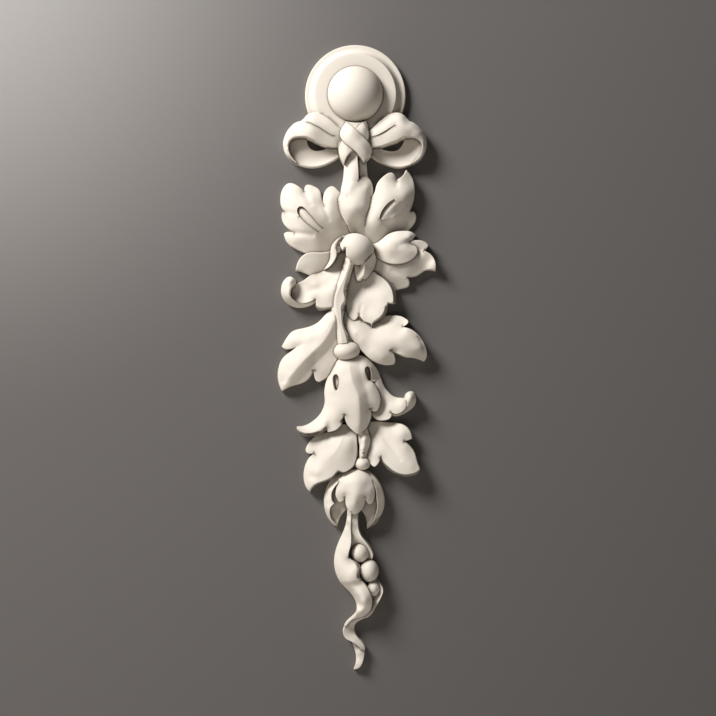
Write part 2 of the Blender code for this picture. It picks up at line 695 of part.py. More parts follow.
def hanging_bud():
    """The round bud, its two sepals and the twisted stem that leaves it."""
    return [
        relief(
            "bud_throat",
            edge=[
                (-10.5, -113, CORNER), (-14, -117), (-15.5, -122), (-15.5, -126, CORNER),
                (-12.5, -125), (-12, -122), (-12, -118.5), (-11, -115.5),
            ],
            rim=18.5,
            crest=[

            ],
        ),
        relief(
            "bud_ball",
            edge=[
                (-10, -124, CORNER), (-12, -120.5), (-12, -116), (-9, -113), (-4, -111),
                (1.5, -111), (7, -112.5), (11.5, -116.5), (14.5, -121.5), (14.5, -127.5),
                (11, -132), (6.5, -134.5), (2, -136), (-2, -134.5, CORNER),
                (-7, -128.5, CORNER), (-7.5, -122.5, CORNER),
            ],
            rim=0,
            crest=[],
            dome=(0.5, -123.5, 15, 13.5, 12, 26.5),
        ),
        relief(
            "bud_left_sepal",
            edge=[
                (-7.5, -112, CORNER), (-11.5, -113), (-14.5, -115.5), (-17.5, -118.5),
                (-19, -122), (-19.5, -126.5), (-20, -129.5), (-21, -133.5), (-23, -136.5),
                (-25.5, -139.5, CORNER), (-22.5, -138), (-19, -135.5), (-16.5, -132),
                (-15, -128), (-15, -124), (-14.5, -121.5), (-13, -119), (-10, -117.5, CORNER),
                (-7, -114.5, CORNER),
            ],
            rim=16,
            crest=[

            ],
        ),
        relief(
            "bud_right_sepal",
            edge=[
                (15.5, -126.5, CORNER), (16.5, -130.5), (16, -135), (14.5, -139.5),
                (11.5, -143.5), (7.5, -147, CORNER), (6.5, -146.5), (4.5, -148),
                (1.5, -148, CORNER), (0.5, -144.5), (-0.5, -140), (0, -134.5, CORNER),
                (3.5, -133.5), (7, -132.5), (11, -130),
            ],
            rim=14.5,
            crest=[
                (7, -137, 18.5), (7, -140, 18), (7, -142, 17), (4, -139, 13.5),
                (3.5, -142, 13.5), (11, -136.5, 15),
            ],
            creases=[
                ([(15, -127.5), (8, -134.5), (7, -140), (5.5, -145)], -0.8, 0.9),
            ],
        ),
        relief(
            "main_stem",
            edge=[
                (-7.5, -122, CORNER), (-7, -128), (-8.5, -133.5), (-11.5, -143),
                (-15.5, -153.5), (-19, -162), (-20, -167.5), (-18, -173), (-16, -180.5),
                (-14.5, -189.5), (-14, -198, CORNER), (-2, -197.5, CORNER), (-6, -189.5),
                (-9, -183.5), (-10, -178), (-8.5, -170), (-7.5, -163.5), (-6, -152.5),
                (-3, -141.5), (-0.5, -133.5, CORNER), (0.5, -124, CORNER),
            ],
            rim=18,
            crest=[

            ],
        ),
    ]


def middle_leaves():
    """The pair of leaves above the bell."""
    return [
        relief(
            "mid_left_leaf",
            edge=[
                (-10.5, -168, CORNER), (-17.5, -170), (-19.5, -171.5), (-22.5, -173.5),
                (-25.5, -177), (-28.5, -179.5), (-33, -183), (-37.5, -184.5), (-42.5, -185.5),
                (-47, -187), (-51, -188.5), (-54, -192), (-56.5, -196), (-58.5, -200, CORNER),
                (-56.5, -202), (-53, -202), (-50, -201.5), (-47, -201, CORNER),
                (-50.5, -203.5), (-54, -206), (-57.5, -209.5), (-59.5, -212.5), (-61, -216.5),
                (-61.5, -221), (-61.5, -227), (-60.5, -231.5), (-58.5, -236, CORNER),
                (-55.5, -233.5), (-50.5, -231.5), (-45.5, -230), (-41.5, -229), (-38, -226.5),
                (-35.5, -223.5), (-34, -220.5), (-33, -219, CORNER), (-33, -222),
                (-32.5, -225), (-30.5, -227.5), (-28.5, -228), (-26.5, -227), (-24, -225.5),
                (-17.5, -217, CORNER), (-10.5, -203, CORNER),
            ],
            rim=9.5,
            crest=[
                (-23, -179, 13), (-27, -185.5, 13.5), (-35, -190.5, 13), (-43, -193.5, 12),
                (-50, -194, 10.5), (-40.5, -200.5, 14), (-33.5, -196.5, 14.5),
                (-47, -207, 12.5), (-54, -212.5, 10), (-57.5, -220.5, 8.5), (-51.5, -219, 12),
                (-57, -228.5, 7.5), (-17, -179.5, 15.5), (-19, -187, 16),
                (-25.5, -196.5, 16.5), (-32.5, -203.5, 16.5), (-39.5, -210.5, 16),
                (-46, -217.5, 14.5), (-51.5, -223.5, 12.5), (-56, -230, 9.5),
                (-13, -183, 15.5), (-13.5, -195, 15.5), (-17.5, -204.5, 16),
                (-22.5, -212.5, 15.5), (-27, -220.5, 15), (-29.5, -211, 16), (-37.5, -219, 15),
                (-44, -224.5, 13.5),
            ],
            creases=[
                ([(-33.5, -215.5), (-32.5, -211), (-30.5, -205.5)], 0.8, 2.2),
                ([(-50, -202), (-45.5, -200.5), (-40.5, -197.5)], 0.7, 1.8),
            ],
        ),
        relief(
            "mid_right_leaf",
            edge=[
                (-12, -171, CORNER), (3.5, -173, CORNER), (24.5, -176), (28.5, -175.5),
                (33, -175.5), (37, -176.5), (40.5, -178.5), (42, -180.5), (41, -182.5),
                (37.5, -184.5, CORNER), (40, -185.5), (44, -186.5), (47, -188.5), (50.5, -192),
                (53.5, -196), (56, -200.5), (57, -205.5), (56, -210), (54.5, -212, CORNER),
                (52.5, -211), (48.5, -209.5), (44.5, -208.5), (39.5, -208), (36.5, -207),
                (32.5, -205.5), (28, -203, CORNER), (30, -205.5), (31, -208.5), (31.5, -212),
                (31, -214, CORNER), (27.5, -214.5), (23, -214.5), (18, -213.5), (13.5, -211),
                (9.5, -208), (5.5, -204), (1.5, -199), (-2, -195), (-5.5, -191.5),
                (-8, -186.5), (-10, -183),
            ],
            rim=13.5,
            crest=[
                (-8, -176, 9), (-4, -183, 12.5), (0, -190.5, 15), (4.5, -196, 16),
                (9.5, -202, 15), (15, -207, 16), (21, -210, 16.5), (-2.5, -177.5, 9.5),
                (1.5, -183, 12.5), (6, -187, 14), (11.5, -192.5, 15.5), (5.5, -179, 9.5),
                (13.5, -184.5, 10.5), (19.5, -180.5, 7), (27.5, -179, 7.5), (29, -185.5, 12.5),
                (20.5, -188, 13.5), (27.5, -192, 17), (35.5, -193.5, 18.5),
                (41.5, -196.5, 18.5), (46.5, -201.5, 18), (51, -202, 17), (50.5, -206, 14.5),
                (24, -203, 18), (19.5, -208.5, 17), (26, -208.5, 16.5), (23.5, -197.5, 18),
                (18, -198.5, 17.5), (34.5, -201.5, 18),
            ],
            creases=[
                ([(39.5, -187), (47, -190.5), (52.5, -197.5), (55, -206)], 0.5, 0.9),
                ([(0.5, -189.5), (4.5, -194), (9, -198.5), (12.5, -204)], 0.7, 3.0),
            ],
        ),
        ball("collar", -6.5, -203.5, 10.5, 7.5, 10, 20.5, turn=-6),
    ]


def bell_flower():
    """The bell: a ridged front, a turned-out right petal and its curled tip."""
    return [
        relief(
            "bell_right_petal",
            edge=[
                (3.5, -222, CORNER), (13.5, -223.5, CORNER), (20.5, -225, CORNER),
                (20.5, -226), (23, -232), (26.5, -236.5), (30, -240), (35, -241.5),
                (40, -241.5, CORNER), (41.5, -244), (40.5, -248), (38, -251.5), (34, -253.5),
                (30.5, -253.5), (27.5, -251.5, CORNER), (28.5, -253.5), (28.5, -256),
                (26.5, -258), (23, -259), (19, -259), (16, -257.5), (14, -255, CORNER),
                (8.5, -246.5, CORNER), (3.5, -230, CORNER),
            ],
            rim=9.5,
            crest=[
                (21, -236.5, 10), (21.5, -242, 8), (21, -246.5, 8), (19.5, -251.5, 9),
                (25, -241, 9), (24.5, -246, 9.5), (28.5, -243.5, 9.5), (29, -247.5, 11),
                (34, -245, 11), (38, -244, 12), (34.5, -249.5, 12.5), (23.5, -251.5, 10.5),
                (8.5, -235, 6), (19.5, -232.5, 11), (8.5, -228.5, 9), (13.5, -227, 10),
                (16.5, -228.5, 12),
            ],
        ),
        relief(
            "bell_curl",
            edge=[
                (40, -242, CORNER), (40, -239.5), (41.5, -237), (44, -236), (46.5, -237),
                (48, -239), (48.5, -242.5), (47.5, -246), (45.5, -249), (42.5, -251.5),
                (38, -253.5), (34, -255.5), (30.5, -255.5), (27.5, -253, CORNER), (28.5, -252),
                (31, -253.5), (34, -253), (38, -251), (40.5, -248), (41.5, -244.5),
            ],
            rim=11.5,
            crest=[
                (43, -240.5, 17),
            ],
        ),
        relief(
            "bell",
            edge=[
                (-11.5, -207.5, CORNER), (-15, -211.5), (-18.5, -215), (-21, -220),
                (-22.5, -226), (-24, -231.5), (-24.5, -237), (-24, -242.5), (-24.5, -247.5),
                (-26.5, -252), (-29.5, -256), (-33.5, -259.5), (-38, -262), (-42.5, -264),
                (-46.5, -264, CORNER), (-46, -267), (-44, -269), (-41.5, -270.5),
                (-37.5, -271.5), (-33.5, -271.5), (-29.5, -270.5), (-26, -268.5),
                (-23, -266.5, CORNER), (-21.5, -267.5), (-18.5, -267.5), (-15, -266),
                (-12, -263.5), (-11, -260.5), (-11.5, -259, CORNER), (-10, -256.5),
                (-8.5, -253.5, CORNER), (-8, -257), (-7, -260), (-5, -263.5), (-2, -266.5),
                (1.5, -269.5, CORNER), (4.5, -268), (7.5, -266), (10, -262.5), (12, -258),
                (12.5, -253), (12, -249, CORNER), (13, -251), (16, -252), (18.5, -250),
                (19.5, -246), (20, -241.5), (19, -237.5), (17.5, -233.5), (15, -229.5),
                (13, -228, CORNER), (16.5, -228), (20.5, -227.5, CORNER), (19.5, -223.5),
                (18, -219.5), (15.5, -215.5), (11.5, -211.5), (8, -208.5), (4.5, -207, CORNER),
            ],
            rim=13,
            crest=[
                (-41, -267.5, 15), (-36.5, -268, 15.5), (-32, -267, 16), (-27.5, -265, 16.5),
                (-24, -263, 17), (-35, -264, 12.5), (-28.5, -260.5, 13), (-24.5, -256, 13),
                (-23, -259.5, 15), (-21, -261.5, 15), (-17, -259, 16.5), (-13, -254.5, 18),
                (-3.5, -210, 13.5), (-17, -219, 13), (-19, -226, 13), (-20.5, -234.5, 13.5),
                (-20, -244, 14), (-21.5, -251, 13.5), (-14.5, -220.5, 16), (-15, -230, 17),
                (-15, -239.5, 17), (-16, -249, 17), (-11.5, -215.5, 16.5), (-9, -222.5, 19),
                (-8, -233, 20), (-9.5, -242.5, 19.5), (-9, -248.5, 19.5), (-4, -216.5, 18.5),
                (-3, -226.5, 21.5), (0, -233.5, 22), (2.5, -240.5, 22.5), (3, -247, 22),
                (3.5, -255, 20.5), (3, -263, 19), (-2.5, -241, 21.5), (-2, -248.5, 21),
                (-2.5, -256.5, 19.5), (3.5, -215.5, 18), (5.5, -222.5, 20), (7, -231.5, 20.5),
                (9, -240, 20.5), (9, -248.5, 20), (8, -257.5, 19), (14.5, -238.5, 19.5),
                (16.5, -246.5, 18), (15.5, -222, 13.5), (12.5, -216.5, 14.5),
                (8.5, -213.5, 15.5),
            ],
        ),
    ]


def lower_leaves():
    """The pair of leaves under the bell and the stem between them."""
    return [
        relief(
            "lower_left_leaf",
            edge=[
                (-8, -262, CORNER), (-16, -265), (-21.5, -268), (-28, -270), (-33, -272.5),
                (-36.5, -276.5), (-39, -280), (-39.5, -284), (-38, -285.5), (-35, -285.5),
                (-32, -285, CORNER), (-36, -288), (-38.5, -292), (-40.5, -296),
                (-41.5, -301.5), (-41, -306), (-40, -311), (-38, -314.5),
                (-36, -316.5, CORNER), (-35, -314.5), (-32.5, -311.5), (-28, -309.5),
                (-23, -307.5), (-19.5, -306.5), (-16.5, -304), (-14, -299.5, CORNER),
                (-12.5, -301), (-10.5, -301.5), (-7.5, -301.5), (-4, -300.5), (-1.5, -298),
                (1, -294.5), (1.5, -289.5), (1.5, -280), (1, -271), (1.5, -265, CORNER),
            ],
            rim=8,
            crest=[
                (-21.5, -271, 8), (-16, -268.5, 8.5), (-10, -268, 9.5), (-4, -269, 10),
                (-17.5, -273.5, 12.5), (-25, -275, 11), (-31, -278.5, 9.5),
                (-26.5, -282, 12.5), (-20, -279, 13.5), (-33, -292, 10.5), (-28, -287.5, 13),
                (-36, -300, 9.5), (-33.5, -303.5, 11), (-37, -308.5, 9), (-11.5, -273.5, 13.5),
                (-12, -276.5, 15), (-15, -281.5, 15.5), (-21, -288, 16), (-26.5, -294, 15),
                (-31.5, -301, 14), (-35, -307.5, 11.5), (-4, -274, 14), (-4, -281, 15.5),
                (-5.5, -288.5, 16), (-9.5, -292, 16.5), (-16, -289, 16.5), (-21, -296, 16),
                (-27, -302.5, 15), (-32, -307, 13), (-23, -304, 16), (-17.5, -299.5, 16.5),
                (-15, -295, 16.5), (-11.5, -297, 16.5), (-6.5, -296, 16), (-2, -292, 15),
            ],
            creases=[
                ([(-9.5, -269.5), (-11.5, -276), (-15.5, -282), (-21, -288.5)], -0.35, 1.2),
            ],
        ),
        relief(
            "lower_right_leaf",
            edge=[
                (8.5, -261.5, CORNER), (15.5, -260), (26, -261), (34, -261.5), (39, -262.5),
                (42, -265.5), (44, -269), (45.5, -273.5, CORNER), (41.5, -274.5),
                (38.5, -275.5, CORNER), (42.5, -278), (45.5, -281.5), (47.5, -285.5),
                (48.5, -290), (50, -294), (51.5, -297.5, CORNER), (50.5, -299.5), (47.5, -302),
                (42.5, -302.5), (37.5, -303), (33, -302.5), (28, -299.5), (24.5, -296),
                (21.5, -292.5), (20, -288.5, CORNER), (19, -291.5), (17.5, -293.5),
                (15, -295.5), (13, -294), (10.5, -290.5), (9, -287), (10, -283), (12, -278.5),
                (12.5, -275), (11.5, -269.5), (10, -265.5),
            ],
            rim=11,
            crest=[
                (19.5, -267.5, 8), (26, -267.5, 9.5), (32.5, -267.5, 11), (38, -269, 12.5),
                (15, -276, 9.5), (21, -273, 11), (27.5, -273.5, 12), (34, -274, 13),
                (15, -283, 12), (19.5, -280.5, 12.5), (24.5, -285.5, 14), (27.5, -279, 13.5),
                (34, -282, 15), (39.5, -279.5, 15), (41, -287.5, 16), (33, -290.5, 16),
                (26.5, -293, 15.5), (45, -294.5, 17), (38.5, -296, 17), (44, -299, 17),
                (37.5, -299.5, 17), (31.5, -297, 16.5),
            ],
            creases=[
                ([(16.5, -264.5), (22, -272), (27.5, -278.5), (33, -285.5), (37, -291)], 1.0, 2.2),
            ],
        ),
        relief(
            "lower_stem",
            edge=[
                (2, -266.5, CORNER), (9.5, -264.5, CORNER), (10.5, -269), (12, -273),
                (12, -276.5), (11, -281.5), (9.5, -285.5), (9, -289, CORNER),
                (2.5, -289, CORNER), (3, -283.5), (3, -279), (2.5, -274),
            ],
            rim=10.5,
            crest=[
                (5.5, -268, 13.5), (6.5, -274, 16.5), (6, -280.5, 16),
            ],
        ),
        ball("small_bead", 6, -293, 6, 5, 9, 17.5),
    ]


def small_bud():
    """The open bud: a hollow cup, two side shells and a lobed dome."""
    return [
        relief(
            "bud_cup",
            edge=[
                (-4, -300, CORNER), (-11.5, -301.5), (-17.5, -305.5), (-22.5, -313),
                (-24.5, -320), (-24.5, -329), (-21.5, -336.5), (-14.5, -343.5, CORNER),
                (-12.5, -337), (-7, -329.5, CORNER), (4.5, -330, CORNER), (8, -335.5),
                (9.5, -344.5, CORNER), (15, -342), (20, -336), (23, -328), (22.5, -319.5),
                (20, -311.5), (15, -304), (8.5, -300.5, CORNER),
            ],
            rim=6,
            crest=[
                (0, -314.5, 6), (15.5, -334, 7.5), (11.5, -339.5, 8), (14.5, -337.5, 8.5),
                (-12, -324, 5), (-17, -326.5, 5), (-8, -327.5, 4.5), (-19.5, -331, 6),
                (-15.5, -329.5, 4.5), (-12, -330.5, 4.5), (-17.5, -335, 7), (-14.5, -335, 6),
                (9.5, -326.5, 4), (14, -325.5, 5), (10, -331, 5), (15, -330, 7),
                (12.5, -335, 7.5),
            ],
        ),
        relief(
            "bud_left_shell",
            edge=[
                (-2.5, -300, CORNER), (-8, -300), (-12, -301.5), (-16, -304), (-20, -308),
                (-23, -314), (-24.5, -319.5), (-25, -325), (-24.5, -330.5), (-22.5, -335),
                (-20, -339), (-17, -342.5), (-14.5, -343.5, CORNER), (-16, -340.5),
                (-18.5, -338), (-20, -334.5), (-20.5, -330.5), (-19, -327),
                (-16.5, -324.5, CORNER), (-18, -322.5), (-19, -318.5), (-18.5, -314.5),
                (-16, -311), (-13, -307.5, CORNER), (-4, -303.5, CORNER),
            ],
            rim=10.5,
            crest=[
                (-21.5, -322, 12),
            ],
        ),
        relief(
            "bud_right_shell",
            edge=[
                (3.5, -299.5, CORNER), (7.5, -299), (11.5, -301.5), (15.5, -304.5), (19, -309),
                (21.5, -314), (23, -320), (23, -325), (22.5, -329.5), (20.5, -334.5),
                (17.5, -339), (14, -342.5), (9.5, -345, CORNER), (13, -340), (15.5, -335),
                (17, -330.5), (17.5, -325.5), (17, -321, CORNER), (17, -316), (15.5, -311.5),
                (13.5, -307, CORNER), (5.5, -304.5, CORNER),
            ],
            rim=11.5,
            crest=[
                (19.5, -317, 12.5), (20.5, -324, 12),
            ],
        ),
        relief(
            "bud_dome",
            edge=[
                (0.5, -299), (-5, -298.5), (-9, -300), (-12, -303.5), (-13, -304.5),
                (-13.5, -307.5), (-14.5, -310.5), (-15.5, -314), (-15.5, -318),
                (-14.5, -321.5), (-13, -323.5), (-11, -323), (-9, -321.5), (-8, -319, CORNER),
                (-8, -322), (-7.5, -325), (-6, -328.5), (-4, -331), (-0.5, -333.5),
                (2, -332.5), (4, -330.5), (6, -328), (7.5, -325), (8, -321, CORNER), (9, -323),
                (11, -325), (12.5, -325), (14, -323), (15, -319.5), (15.5, -315), (15, -311),
                (14, -308), (13.5, -305), (11.5, -303), (7, -298.5),
            ],
            rim=14,
            crest=[
                (-4, -303, 17), (2, -303, 18.5), (8.5, -305, 17.5), (-9.5, -307, 17),
                (-12, -312.5, 17), (-10, -316, 17.5), (-5.5, -311, 19), (0, -310, 21),
                (4.5, -310, 21), (9, -311, 18.5), (-4, -317, 19.5), (0.5, -317, 21.5),
                (4.5, -317, 20.5), (12.5, -317.5, 17.5), (-5, -324.5, 18), (0, -324.5, 20),
                (4.5, -323.5, 17.5),
            ],
            creases=[
                ([(-8, -325), (-8, -320), (-7.5, -315.5)], 0.9, 1.3),
                ([(8, -326.5), (8, -322), (8, -317)], 1.1, 1.4),
            ],
        ),
    ]


def pea_pod():
    """The pod, its front shell, and the twisted tail."""
    return [
        relief(
            "pod_back",
            edge=[
                (-3.5, -327, CORNER), (2, -327, CORNER), (2, -334.5), (2, -340), (3, -346),
                (5, -350.5), (7.5, -354), (10.5, -357.5), (12.5, -361), (14, -364.5),
                (13.5, -367.5), (12, -370.5, CORNER), (13, -382, CORNER), (18, -386.5),
                (20, -389), (21.5, -391.5), (22, -393.5), (21, -397), (19, -402), (16, -407),
                (13, -412), (8.5, -416, CORNER), (4.5, -411), (2, -404), (-1, -396),
                (-6.5, -389), (-11.5, -379.5), (-12, -370), (-10, -360.5), (-5, -349),
            ],
            rim=11,
            crest=[
                (5.5, -354, 13), (-4, -359.5, 7), (2, -361, 4.5), (6, -367, 4),
                (-7.5, -370, 6), (0.5, -382.5, 4), (8.5, -386.5, 4.5), (13.5, -390, 5),
                (15, -397.5, 5.5), (13, -405, 6.5), (-2, -344, 13), (1.5, -349.5, 12.5),
                (0, -354.5, 10.5),
            ],
        ),
        relief(
            "tail_shell",
            edge=[
                (-6.5, -326.5, CORNER), (-6.5, -334.5), (-7, -340), (-8.5, -346),
                (-11, -351.5), (-13.5, -357), (-15.5, -362.5), (-16.5, -368), (-16.5, -373.5),
                (-16, -379), (-14, -384.5), (-10.5, -389.5), (-6.5, -393.5), (-3, -397.5),
                (0, -402), (1, -406.5), (1, -411), (-0.5, -414), (-4, -416.5), (-7, -420.5),
                (-9, -423, CORNER), (-7.5, -423, CORNER), (-5, -420), (-2, -417), (2, -416),
                (6.5, -414), (10.5, -411), (13, -407), (13.5, -402.5), (13, -398),
                (11, -393.5), (9, -389.5), (6, -386.5), (4.5, -385, CORNER), (3.5, -382),
                (3.5, -378.5), (4, -375.5), (3, -373), (0, -370.5), (-3.5, -368.5),
                (-5.5, -366.5, CORNER), (-5, -363), (-4, -359), (-3, -353.5), (-3.5, -345.5),
                (-3.5, -338), (-2.5, -326.5, CORNER),
            ],
            rim=12,
            crest=[
                (-8.5, -353.5, 12.5), (-11, -360, 12), (-7.5, -360, 15.5), (-12, -367, 12),
                (-8, -367.5, 15.5), (-12.5, -375, 12), (-8, -374.5, 15.5), (-4, -370.5, 16.5),
                (-1, -372, 17.5), (-4, -376.5, 18), (0, -375.5, 19.5), (-0.5, -381, 20),
                (-5.5, -382, 17.5), (-10, -382.5, 13), (-6.5, -386.5, 15), (-2, -385, 18.5),
                (-2.5, -391, 16), (1.5, -388.5, 18), (2, -395.5, 19), (6, -393.5, 20),
                (5.5, -401.5, 20), (9.5, -401.5, 20), (-6, -345.5, 13), (5.5, -407.5, 17.5),
                (9.5, -406, 17.5), (5, -411.5, 14.5),
            ],
            creases=[
                ([(-13.5, -362), (-9.5, -367.5), (-6, -373), (-2.5, -378)], 0.7, 3.0),
            ],
        ),
        relief(
            "tail_ribbon",
            edge=[
                (3, -411.5, CORNER), (-0.5, -416), (-4, -418.5), (-7.5, -422.5), (-9.5, -426),
                (-9.5, -429), (-7.5, -432.5), (-4, -434), (-1, -436), (2.5, -438.5),
                (5, -442, CORNER), (7.5, -441.5, CORNER), (7.5, -439.5), (6, -436), (3, -433),
                (0.5, -430), (-0.5, -426), (-0.5, -421.5), (2, -418.5), (6, -417),
                (9.5, -415.5, CORNER),
            ],
            rim=8.5,
            crest=[
                (-5.5, -428, 9.5), (-0.5, -432.5, 10.5),
            ],
        ),
        relief(
            "tail_tip",
            edge=[
                (-3, -435, CORNER), (-1, -440), (0, -444), (0.5, -449), (0, -453.5),
                (-1, -457.5, CORNER), (2, -456.5), (5, -453), (6.5, -449), (7.5, -444.5),
                (7.5, -440.5, CORNER), (2, -435),
            ],
            rim=5.5,
            crest=[
                (3.5, -443, 7), (3, -451.5, 7),
            ],
        ),
        ball("pea_upper", 4, -364, 7, 7.5, 8, 16.5),
        ball("pea_middle", 11, -378.5, 7.5, 9, 8, 18),
        ball("pea_lower", 15, -392, 5, 6.5, 7.5, 15),
    ]

def rosette():
    """The turned plate with its hollow moulding, and the round boss on it."""
    rise = ROSETTE_DISC_HEIGHT - ROSETTE_RIM_HEIGHT - 0.6
    hollow = ROSETTE_RADIUS - 2.0 - ROSETTE_DISC_RADIUS
    flare = (ROSETTE_RIM_HEIGHT + BEHIND_WALL) * WALL_DRAFT
    profile = [
        (ROSETTE_RADIUS + flare, -BEHIND_WALL),
        (ROSETTE_RADIUS, ROSETTE_RIM_HEIGHT - 1.2),
        (ROSETTE_RADIUS - 0.8, ROSETTE_RIM_HEIGHT - 0.3),
    ]
    for share in (0.0, 0.35, 0.65, 0.88, 1.0):
        radius = ROSETTE_DISC_RADIUS + hollow * (1 - share)
        profile.append((radius, ROSETTE_RIM_HEIGHT + rise * share ** 2.4))
    profile.append((ROSETTE_DISC_RADIUS - 0.8, ROSETTE_DISC_HEIGHT))
    plate = turned("rosette_plate", profile, ROSETTE_SIDES)
    middle = ROSETTE_DISC_HEIGHT - 0.5
    boss = ball("boss", 0.0, 0.0, BOSS_RADIUS, BOSS_RADIUS, middle, BOSS_TOP)
    return [plate, boss]


def opening_cutter(name, edge):
    """A prism through the full depth of the carving, for a gap that shows the wall."""
    outline = trace_outline(edge, EDGE_STEP)
    outline = outline + outward_normals(outline) * OPENING_EASE
    count = len(outline)
    points = [(x, OPENING_BACK, z) for x, z in outline]
    points += [(x, -OPENING_FRONT, z) for x, z in outline]
    faces = [tuple(reversed(range(count))), tuple(range(count, 2 * count))]
    for j in range(count):
        k = (j + 1) % count
        faces.append((j, k, count + k, count + j))
    return solid_from(name, points, faces)


def wall_cutter():
    """Everything behind the wall plane."""
    mesh = bpy.data.meshes.new("wall_cutter")
    builder = bmesh.new()
    bmesh.ops.create_cube(builder, size=1.0)
    bmesh.ops.translate(builder, verts=builder.verts, vec=(0.0, 0.5, 0.0))
    builder.to_mesh(mesh)
    builder.free()
    cutter = bpy.data.objects.new("wall_cutter", mesh)
    bpy.context.scene.collection.objects.link(cutter)
    return cutter


def combine(target, others, operation):
    """Applies one Boolean of the target with all the others, which it uses up.

    The EXACT solver leaves hundreds of open edges where the many reliefs overlap, so
    this uses MANIFOLD, which every piece suits because each one is closed.
    """
    group = bpy.data.collections.new("operands")
    for other in others:
        group.objects.link(other)
    boolean = target.modifiers.new("Boolean", "BOOLEAN")
    boolean.operation = operation
    boolean.solver = "MANIFOLD"
    boolean.operand_type = "COLLECTION"
    boolean.collection = group
    graph = bpy.context.evaluated_depsgraph_get()
    mesh = bpy.data.meshes.new_from_object(target.evaluated_get(graph))
    target.modifiers.clear()
    target.data = mesh
    for other in others:
        bpy.data.objects.remove(other, do_unlink=True)
    bpy.data.collections.remove(group)
    return target


def merge_flat_faces(solid):
    """Joins neighbouring faces that lie in nearly one plane, the flat back most of all."""
    builder = bmesh.new()
    builder.from_mesh(solid.data)
    bmesh.ops.dissolve_limit(
        builder, angle_limit=MERGE_ANGLE, verts=builder.verts[:], edges=builder.edges[:]
    )
    builder.to_mesh(solid.data)
    builder.free()


def main():
    clear_scene()
    loops = bow()
    openings = {"left_bow_bowl": LEFT_OPENING, "right_bow_bowl": RIGHT_OPENING}
    for piece in loops:
        if piece.name in openings:
            cutter = opening_cutter(piece.name + "_opening", openings[piece.name])
            combine(piece, [cutter], "DIFFERENCE")
    forms = rosette() + loops + knot() + upper_stem() + flower() + petals()
    forms += hanging_bud() + middle_leaves() + bell_flower() + lower_leaves()
    forms += small_bud() + pea_pod()
    ornament = combine(forms[0], forms[1:], "UNION")
    combine(ornament, [wall_cutter()], "DIFFERENCE")
    merge_flat_faces(ornament)
    ornament.name = "drop_ornament"
    ornament.data.name = "drop_ornament"
    ornament.data.materials.clear()
    ornament.data.materials.append(cast_material())
    for face in ornament.data.polygons:
        face.material_index = 0
    ornament.data.shade_smooth()
    ornament.data.set_sharp_from_angle(angle=SHARP_ANGLE)


if __name__ == "__main__":
    main()
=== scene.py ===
"""The looks of an ornamental drop moulding, laid out as a Blender add-on.

The moulding is one casting in rigid polyurethane, primed warm white.  Its carving is
modelled form by form in front of the wall plane y = 0, each form laid over the one
behind it, and all of them are then united into a single skin and cut off flat at the
wall.  Sizes in the modelling code are millimetres from the centre of the rosette.
"""

import json
import math

import bmesh
import bpy
import numpy as np
from bpy.props import FloatProperty, FloatVectorProperty, PointerProperty
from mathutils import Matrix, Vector
from mathutils.geometry import delaunay_2d_cdt
from mathutils.kdtree import KDTree

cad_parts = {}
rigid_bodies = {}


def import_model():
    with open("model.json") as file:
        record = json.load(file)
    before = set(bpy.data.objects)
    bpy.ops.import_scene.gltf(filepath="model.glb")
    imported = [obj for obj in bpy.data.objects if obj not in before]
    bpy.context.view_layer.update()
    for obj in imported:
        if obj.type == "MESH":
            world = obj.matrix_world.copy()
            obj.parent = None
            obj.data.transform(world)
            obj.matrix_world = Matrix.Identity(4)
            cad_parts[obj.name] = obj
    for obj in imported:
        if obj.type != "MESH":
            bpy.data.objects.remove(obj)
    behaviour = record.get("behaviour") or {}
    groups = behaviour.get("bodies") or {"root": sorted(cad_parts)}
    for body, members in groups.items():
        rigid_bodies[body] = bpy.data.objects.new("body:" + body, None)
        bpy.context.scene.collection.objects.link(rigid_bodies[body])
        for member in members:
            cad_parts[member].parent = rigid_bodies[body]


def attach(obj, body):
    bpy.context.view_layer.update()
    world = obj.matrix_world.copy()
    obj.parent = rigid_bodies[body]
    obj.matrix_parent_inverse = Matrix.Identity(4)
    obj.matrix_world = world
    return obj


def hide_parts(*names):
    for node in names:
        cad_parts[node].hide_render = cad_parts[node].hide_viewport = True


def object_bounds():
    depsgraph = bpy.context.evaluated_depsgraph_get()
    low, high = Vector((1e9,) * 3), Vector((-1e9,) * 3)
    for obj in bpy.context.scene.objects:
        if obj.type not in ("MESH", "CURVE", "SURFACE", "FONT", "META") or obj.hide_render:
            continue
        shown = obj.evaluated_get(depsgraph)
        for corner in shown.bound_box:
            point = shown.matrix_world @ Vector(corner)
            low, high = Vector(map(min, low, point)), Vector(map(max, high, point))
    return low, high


bl_info = {
    "name": "Drop ornament",
    "version": (1, 0, 0),
    "blender": (4, 5, 0),
    "location": "3D View > Sidebar > Ornament",
    "description": "Models and finishes a cast drop ornament with a rosette, bow and leaves",
    "category": "Object",
}

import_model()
CAD_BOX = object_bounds()

MM = 0.001
NODE = "drop_ornament"
CORNER = "corner"  # marks an outline point at which the line breaks
FORMS = "forms"  # the collection that holds the forms until they are cast
PAINTED_SHADE_ATTRIBUTE = "crease"  # the attribute that holds the painted shade of the inner corners, by how near each vertex is to one
